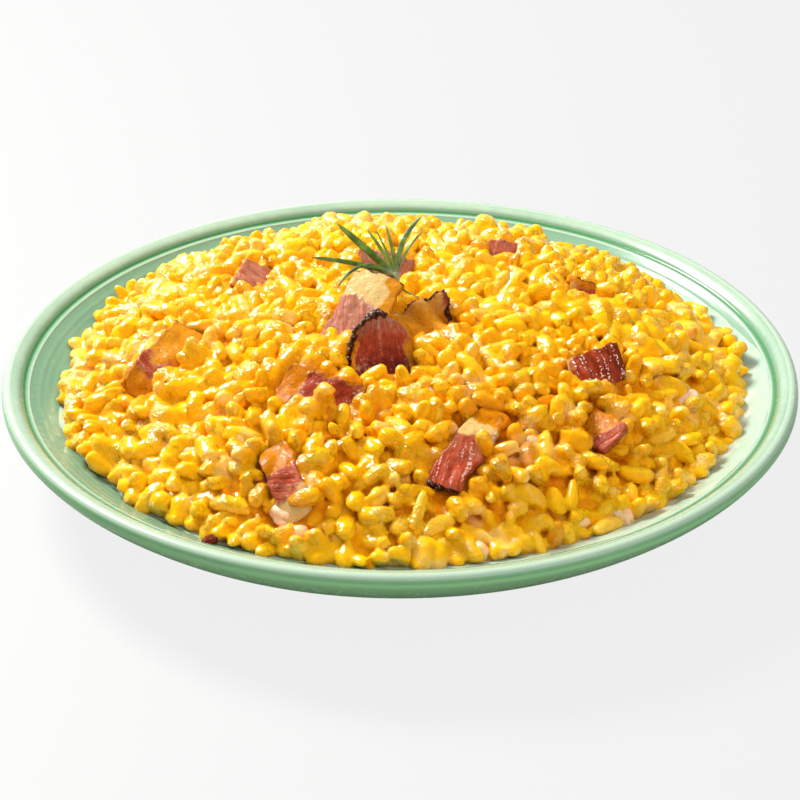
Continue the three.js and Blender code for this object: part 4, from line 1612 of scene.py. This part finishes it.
def needle_lines():
    """Points and edges of the needles' middle lines, and their swelling, place along, age and twist."""
    points, edges, swell, along, ages, twists = [], [], [], [], [], []
    steps = [k / (NEEDLE_STATIONS - 1) for k in range(NEEDLE_STATIONS)]
    for through, tip, width, age, twist in NEEDLES:
        through, tip = Vector(through), Vector(tip)
        control = 2 * through - (NEEDLE_ROOT + tip) / 2
        first = len(points)
        points += [(1 - t) ** 2 * NEEDLE_ROOT + 2 * t * (1 - t) * control + t * t * tip for t in steps]
        edges += [(first + k, first + k + 1) for k in range(NEEDLE_STATIONS - 1)]
        swell += [width * min(1.0, 0.5 + 1.4 * t) * max(0.01, 1 - t**4.5) ** 0.6 for t in steps]
        along += steps
        ages += [age] * NEEDLE_STATIONS
        twists += [math.radians(twist)] * NEEDLE_STATIONS
    return points, edges, {"swell": swell, "along": along, "age": ages, "twist": twists}


def leaf_material(rosemary):
    """Rosemary: dark waxy upper side, felted underside, woody at the stem and dry at the tip."""
    values = {"subsurface_weight": 0.15, "subsurface_scale": 0.0006, "subsurface_radius": (0.4, 1.0, 0.2)}
    material, tree, shader = new_material("Rosemary needle", **values)
    place = object_place(tree)
    cloud = speckle(tree, place, 350, 3)
    felt = speckle(tree, place, 2600, 2, 0.7)
    ages = (rosemary.fresh, rosemary.leaf, rosemary.old)
    top = ramp(tree, value_of(tree, "age"), *zip((0.0, 0.5, 1.0), map(tuple, ages)), smooth=False)
    top = mixed(tree, 1.0, top, ramp(tree, cloud, (0.3, 0.45), (0.75, 1.4)), "MULTIPLY")
    under = Vector(rosemary.underside)
    below = ramp(tree, felt, (0.3, tuple(under * 0.75)), (0.7, tuple(under * 1.1)))
    upper = ramp(tree, value_of(tree, "upper"), (0.35, 0.0), (0.65, 1.0))
    base = mixed(tree, upper, below, top)
    root = ramp(tree, value_of(tree, "along"), (0.02, 0.75), (0.22, 0.0))
    base = mixed(tree, root, base, opaque(rosemary.wood))
    tip = ramp(tree, value_of(tree, "along"), (0.93, 0.0), (1.0, 0.6))
    base = mixed(tree, tip, base, opaque(rosemary.dry))
    dress(tree, shader, base_color=base, roughness=ramp(tree, cloud, (0.3, 0.28), (0.7, 0.5)))
    emboss(tree, shader, 0.4, 0.0001, felt)
    return material


def stem_mesh(width):
    """Points and faces of the stem, a knobbly tapered stalk with a rounded top."""
    sides, rings = 16, 22
    points = []
    for k in range(rings):
        t = k / (rings - 1)
        middle = STEM_FOOT.lerp(STEM_TOP, t)
        knob = 1 + 0.16 * math.sin(t * 26) + 0.3 * smooth_step(0.72, 0.95, t)
        radius = width / 2 * knob * math.sqrt(max(0.03, 1 - max(0.0, (t - 0.9) / 0.1) ** 2))
        for j in range(sides):
            turn = 2 * math.pi * j / sides
            out = Vector((math.cos(turn), math.sin(turn), 0))
            bark = 1 + 0.08 * noise.noise(middle * 900 + out)
            points.append(middle + out * radius * bark)
    foot, top = range(sides), range((rings - 1) * sides, rings * sides)
    walls = [(a, d, c, b) for a, b, c, d in ring_faces(sides, rings)]
    return points, [tuple(reversed(foot)), *walls, tuple(top)]


def stem_material(rosemary):
    """Pale young wood, streaked along the stem."""
    values = {"roughness": 0.55, "subsurface_weight": 0.1, "subsurface_scale": 0.0005}
    material, tree, shader = new_material("Rosemary stem", **values)
    streaks = add(
        tree, "ShaderNodeMapping", {"Vector": object_place(tree), "Scale": (2200.0, 2200.0, 260.0)}
    )
    bark = speckle(tree, streaks, 1.0, 3, 0.6)
    wood = Vector(rosemary.wood)
    dress(tree, shader, base_color=ramp(tree, bark, (0.3, tuple(wood * 0.6)), (0.7, tuple(wood))))
    emboss(tree, shader, 0.4, 0.0002, bark)
    return material


class RISOTTO_OT_rosemary(Operator):
    """Makes the sprig of rosemary: a stem and its needles"""

    bl_idname = "risotto.rosemary"
    bl_label = "Rosemary"

    def execute(self, context):
        rosemary = context.scene.risotto_rosemary
        points, edges, values = needle_lines()
        needles = mesh_object("rosemary_needles", points, [], smooth=False, edges=edges)
        for label, value in values.items():
            point_attribute(needles.data, label, value)
        leaf = leaf_material(rosemary)
        grow(needles, needle_tree(), needle_width=rosemary.needle_width, material=leaf)
        finish_piece(needles, "herb", "rosemary")
        stem = mesh_object("rosemary_stem", *stem_mesh(rosemary.stem_width))
        stem.data.materials.append(stem_material(rosemary))
        finish_piece(stem, "herb")
        return {"FINISHED"}


# ---------- trimmings ----------

# Scraps of bacon too small to be slices, cut and coloured as those are, each with its middle in X and Y.
SCRAPS = (
    {
        "at": (-0.0490, -0.0900),
        "turn": (30, 0, 40),
        "size": (0.0045, 0.0030),
        "fried": (0.9, 0.9),
        "fibre": 0,
        "fat": (),
        "burnt": (("far", -1, 1, 0.0006),),
    },
)
# Lumps of soft fat among the grains, each with its middle in X and Y, half its height and half its width.
SOFT_LUMPS = (
    (0.0086, -0.0490, 0.0026, 0.0038),
    (0.0321, -0.0419, 0.0022, 0.0034),
    (0.0405, -0.0373, 0.0020, 0.0028),
    (-0.0322, 0.0311, 0.0028, 0.0036),
    (0.0800, -0.0285, 0.0030, 0.0046),
    (0.0815, -0.0528, 0.0024, 0.0034),
    (0.0584, -0.0774, 0.0028, 0.0040),
    (0.0463, -0.0806, 0.0026, 0.0038),
    (0.0204, -0.0935, 0.0026, 0.0040),
    (-0.0425, -0.0618, 0.0026, 0.0034),
    (-0.0560, -0.0609, 0.0030, 0.0040),
    (-0.0297, -0.0833, 0.0026, 0.0046),
    (-0.0262, -0.0885, 0.0022, 0.0034),
    (0.0352, -0.0633, 0.0018, 0.0026),
    (0.0723, -0.0005, 0.0024, 0.0034),
)


def scraps_object(bacon, material):
    """All the scraps as one piece, each lying on the rice."""
    heap = rice_heap()
    points, faces, looks = [], [], {}
    for seed, cut in enumerate(SCRAPS, len(SLICES) + 1):
        shape, sides, values = slice_shape(cut, bacon, seed)
        x, y = cut["at"]
        lie = np.array([x, y, heap.height(np.array([x]), np.array([y]))[0] - 0.0002])
        first = sum(len(p) for p in points)
        points.append(shape - (shape.min(0) + shape.max(0)) / 2 + lie)
        faces += [tuple(first + corner for corner in face) for face in sides]
        for label, value in values.items():
            looks.setdefault(label, []).append(value)
    looks = {label: np.concatenate(value) for label, value in looks.items()}
    return slice_object("bacon_scraps", np.concatenate(points), faces, looks, material)


def soft_lumps_object(trimmings, rice, rng):
    """Lumps of soft fat, half sunk in the rice and streaked with its sauce."""
    heap = rice_heap()
    x, y, tall, wide = np.array(SOFT_LUMPS).T
    places = np.stack([x, y, heap.height(x, y) - 0.0019], axis=1)
    sizes = np.stack([wide, wide * 0.8, tall], axis=1) * rng.uniform(0.85, 1.1, (len(x), 3))
    golden = Vector(rice.golden)
    fat = Vector(trimmings.soft_fat)
    coat = bpy.data.node_groups["Creamy coat"]
    material = rice_material("Soft fat", coat, [fat.lerp(golden, 0.55), fat], golden, 0.9, 0.7, "tone")
    piece = mesh_object("soft_fat", places, [], smooth=False)
    point_attribute(piece.data, "size", sizes, "FLOAT_VECTOR")
    point_attribute(piece.data, "tone", rng.uniform(0.3, 1.0, len(x)))
    return grow(piece, bit_tree(), unevenness=3.0, fineness=230.0, subdivisions=5, material=material)


def surface_under(pieces):
    """Search tree of the surfaces of pieces."""
    joined = bmesh.new()
    for name in pieces:
        joined.from_mesh(bpy.data.objects[name].data)
    tree = BVHTree.FromBMesh(joined)
    joined.free()
    return tree


def pepper_places(trimmings, rng):
    """Places on top of the food for the flecks of pepper."""
    heap = rice_heap()
    covered = ["rice_sauce", "rice_grains"] + [node.replace("bacon", "slice") for node in SLICES]
    tree = surface_under(covered)
    places = []
    while len(places) < trimmings.flecks:
        x, y = rng.uniform(-heap.reach, heap.reach, 2)
        if math.hypot(x, y) > heap.edge(x, y) - 0.003:
            continue
        hit = tree.ray_cast(Vector((x, y, HEAP_HIGH.z + 0.03)), Vector((0, 0, -1)))[0]
        places.append(tuple(hit))
    return np.array(places)


def pepper_material(trimmings):
    """Cracked black pepper."""
    material, tree, shader = new_material("Black pepper", roughness=0.6)
    cloud = speckle(tree, object_place(tree), 2200, 2, 0.6)
    dark = Vector(trimmings.pepper)
    dress(tree, shader, base_color=ramp(tree, cloud, (0.35, tuple(dark * 0.5)), (0.7, tuple(dark * 2.5))))
    emboss(tree, shader, 0.6, 0.0001, cloud)
    return material


def film_object(trimmings, rice, bowl):
    """Thin sauce that has run out on the bowl round the food, further in some places than in others, and
    furthest on the right, where its pale sheet also stands in for a broad reflection on the slope.
    """
    heap = rice_heap()
    segments, rings = 360, 20
    angles = np.linspace(0, 2 * math.pi, segments, endpoint=False)
    edge = heap.edge(np.cos(angles), np.sin(angles)) - 0.004
    spread = noise_at(np.cos(angles) * 0.1, np.sin(angles) * 0.1, 0.022, 0.022, rice.seed + 0.3)
    # The film reaches much further on the right: partly thin sauce, partly a painted reflection, a pale sheet
    # where light is reflected on the slope.
    right = np.clip(np.cos(angles + 0.45), 0, 1) ** 2
    reach = 0.0042 + trimmings.film_width * (np.clip(0.1 + spread * 1.6, 0, 1) + 4.0 * right)
    upper, lower = [], []
    for k in range(rings):
        t = k / (rings - 1)
        radius = np.minimum(edge + reach * t, GROOVE_RADIUS - 0.001)
        thick = 0.0012 * (1 - t) ** 0.7
        x, y = radius * np.cos(angles), radius * np.sin(angles)
        glazed = well_height(radius, bowl.ring_height)
        upper.append(np.stack([x, y, glazed - 0.0002 + thick], axis=1))
        lower.append(np.stack([x, y, glazed - 0.0005], axis=1))
    loops = upper + lower[::-1]
    faces = ring_faces(segments, len(loops), closed=True)
    piece = mesh_object("sauce_film", np.concatenate(loops), faces)
    outward = np.repeat(np.linspace(0, 1, rings), segments)
    point_attribute(piece.data, "outward", np.concatenate([outward, outward[::-1]]))
    return piece


def film_material(trimmings, rice, bowl):
    """Watery sauce, from starchy white to thin yellow, through which the bowl shows at its outer edge."""
    values = {"roughness": 0.08, "subsurface_weight": 0.4, "subsurface_scale": 0.002}
    material, tree, shader = new_material("Thin sauce", ior=1.36, **values)
    place = object_place(tree)
    cloud = speckle(tree, place, 130, 3, 0.6)
    film = Vector(trimmings.film)
    golden = film.lerp(Vector(rice.golden), 0.7)
    thinner = maths(tree, "MULTIPLY_ADD", value_of(tree, "outward"), -1.1, cloud)
    sauce = ramp(tree, thinner, (0.15, tuple(film)), (0.45, tuple(golden)))
    faint = maths(tree, "MULTIPLY_ADD", cloud, 0.8, value_of(tree, "outward"))
    faint = ramp(tree, faint, (0.55, 0.0), (0.95, 0.95))
    washed = Vector(bowl.glaze).lerp(film, 0.42)
    dress(tree, shader, base_color=mixed(tree, faint, sauce, opaque(washed)))
    emboss(tree, shader, 0.3, 0.0004, speckle(tree, place, 500, 2))
    return material


class RISOTTO_OT_trimmings(Operator):
    """Makes the scraps of bacon, the lumps of soft fat, the flecks of pepper and the thin sauce"""

    bl_idname = "risotto.trimmings"
    bl_label = "Trimmings"

    def execute(self, context):
        scene = context.scene
        trimmings, rice = scene.risotto_trimmings, scene.risotto_rice
        scraps = scraps_object(scene.risotto_bacon, bpy.data.materials["Fried bacon"])
        finish_piece(scraps, "bacon")
        rng = np.random.default_rng(rice.seed)
        finish_piece(soft_lumps_object(trimmings, rice, rng), "bacon")
        places = pepper_places(trimmings, rng)
        width = trimmings.fleck_width / 2 * rng.uniform(0.45, 1.0, (len(places), 1))
        sizes = width * np.array([[1.0, 0.75, 0.5]])
        flecks = scatter_bits("pepper_flecks", places, sizes, pepper_material(trimmings), unevenness=0.3)
        finish_piece(flecks, "herb")
        film = film_object(trimmings, rice, scene.risotto_bowl)
        film.data.materials.append(film_material(trimmings, rice, scene.risotto_bowl))
        finish_piece(film, "rice")
        return {"FINISHED"}


# ---------- stage ----------

FLOOR_HALF = 4.0  # half of the floor's side
SENSOR_WIDTH = 36  # in millimetres, as the lens is

def area_light(name, place, aim, size, power, tint):
    """A square soft light that faces a point."""
    light = bpy.data.lights.new(name, "AREA")
    light.size = size
    light.energy = power
    light.color = tint
    lamp = bpy.data.objects.new(name, light)
    lamp.location = place
    lamp.rotation_euler = (Vector(aim) - Vector(place)).to_track_quat("-Z", "Y").to_euler()
    lamp.visible_camera = False
    bpy.context.scene.collection.objects.link(lamp)
    return lamp


def floor_material(stage):
    """Pale translucent board with a faint cloudiness, lit from below as a light table is."""
    material, tree, shader = new_material("Pale board", roughness=0.7, emission_strength=1.0)
    cloud = speckle(tree, object_place(tree), 4, 5, 0.6)
    base = Vector(stage.floor)
    level = ramp(tree, cloud, (0.3, tuple(base * 0.96)), (0.7, tuple(base)))
    seen = add(tree, "ShaderNodeLightPath").outputs["Is Camera Ray"]
    black, thrown, glow = (opaque([grey] * 3) for grey in (0, stage.bounce, stage.glow))
    dress(
        tree,
        shader,
        base_color=mixed(tree, seen, thrown, level),
        emission_color=mixed(tree, seen, black, glow),
    )
    return material


def floor_object(stage):
    """The floor, a large square."""
    corners = ((-1, -1, 0), (1, -1, 0), (1, 1, 0), (-1, 1, 0))
    floor = mesh_object("floor", [Vector(corner) * FLOOR_HALF for corner in corners], [(0, 1, 2, 3)])
    floor.data.materials.append(floor_material(stage))
    return floor


def even_light(strength):
    """A world that gives even light from all round."""
    world = bpy.data.worlds.new("Even light")
    world.use_nodes = True
    background = world.node_tree.nodes["Background"]
    background.inputs["Color"].default_value = (0.97, 0.98, 1.0, 1)
    background.inputs["Strength"].default_value = strength
    return world


def camera_object(stage, middle):
    """The camera, in front of the dish and above it."""
    camera = bpy.data.cameras.new("camera")
    camera.lens = stage.lens
    camera.sensor_width = SENSOR_WIDTH
    camera.clip_start = 0.01
    holder = bpy.data.objects.new("camera", camera)
    away = Vector((0, -math.cos(stage.elevation), math.sin(stage.elevation)))
    holder.location = Vector(middle) + away * stage.distance
    holder.rotation_euler = (math.pi / 2 - stage.elevation - stage.dip, 0, 0)
    bpy.context.scene.collection.objects.link(holder)
    return holder


class RISOTTO_OT_stage(Operator):
    """Makes the floor, the lights and the camera"""

    bl_idname = "risotto.stage"
    bl_label = "Stage"

    def execute(self, context):
        stage = context.scene.risotto_stage
        floor_object(stage)
        middle = (0, 0, RIM_HEIGHT)
        area_light("key", (-0.60, 0.58, 0.80), middle, 0.4, stage.key_power, (1.0, 0.97, 0.92))
        fill = area_light("fill", (0.45, -0.95, 0.95), middle, 1.3, stage.fill_power, (1.0, 0.98, 0.96))
        fill.visible_glossy = False
        dome = area_light("dome", (0, 0, 1.6), middle, 2.0, stage.dome_power, (0.97, 0.98, 1.0))
        dome.visible_glossy = False
        area_light("pane", (-0.61, 1.32, 0.42), middle, 1.2, stage.pane_power, (1.0, 1.0, 1.0))
        context.scene.world = even_light(stage.sky)
        context.scene.view_settings.view_transform = "Standard"
        context.scene.camera = camera_object(stage, middle)
        return {"FINISHED"}


# ---------- add-on ----------


class RISOTTO_PT_sidebar(Panel):
    """Lists the risotto's settings and the operators that make it"""

    bl_label = "Pumpkin Risotto"
    bl_space_type = "VIEW_3D"
    bl_region_type = "UI"
    bl_category = "Risotto"

    def draw(self, context):
        for holder, settings, operator in STEPS:
            box = self.layout.box()
            for name in settings.__annotations__:
                box.prop(getattr(context.scene, holder), name)
            box.operator(operator.bl_idname)


# Each step's name in the scene, its settings and its operator.
STEPS = (
    ("risotto_stage", StageSettings, RISOTTO_OT_stage),
    ("risotto_bowl", BowlSettings, RISOTTO_OT_bowl),
    ("risotto_rice", RiceSettings, RISOTTO_OT_rice),
    ("risotto_bacon", BaconSettings, RISOTTO_OT_bacon),
    ("risotto_rosemary", RosemarySettings, RISOTTO_OT_rosemary),
    ("risotto_trimmings", TrimmingSettings, RISOTTO_OT_trimmings),
)


def register():
    for holder, settings, operator in STEPS:
        bpy.utils.register_class(settings)
        bpy.utils.register_class(operator)
        setattr(bpy.types.Scene, holder, PointerProperty(type=settings))
    bpy.utils.register_class(RISOTTO_PT_sidebar)


def unregister():
    bpy.utils.unregister_class(RISOTTO_PT_sidebar)
    for holder, settings, operator in reversed(STEPS):
        delattr(bpy.types.Scene, holder)
        bpy.utils.unregister_class(operator)
        bpy.utils.unregister_class(settings)


def main():
    register()
    bpy.ops.risotto.stage()
    bpy.ops.risotto.bowl()
    bpy.ops.risotto.rice()
    bpy.ops.risotto.bacon()
    bpy.ops.risotto.rosemary()
    bpy.ops.risotto.trimmings()


if __name__ == "__main__":
    main()
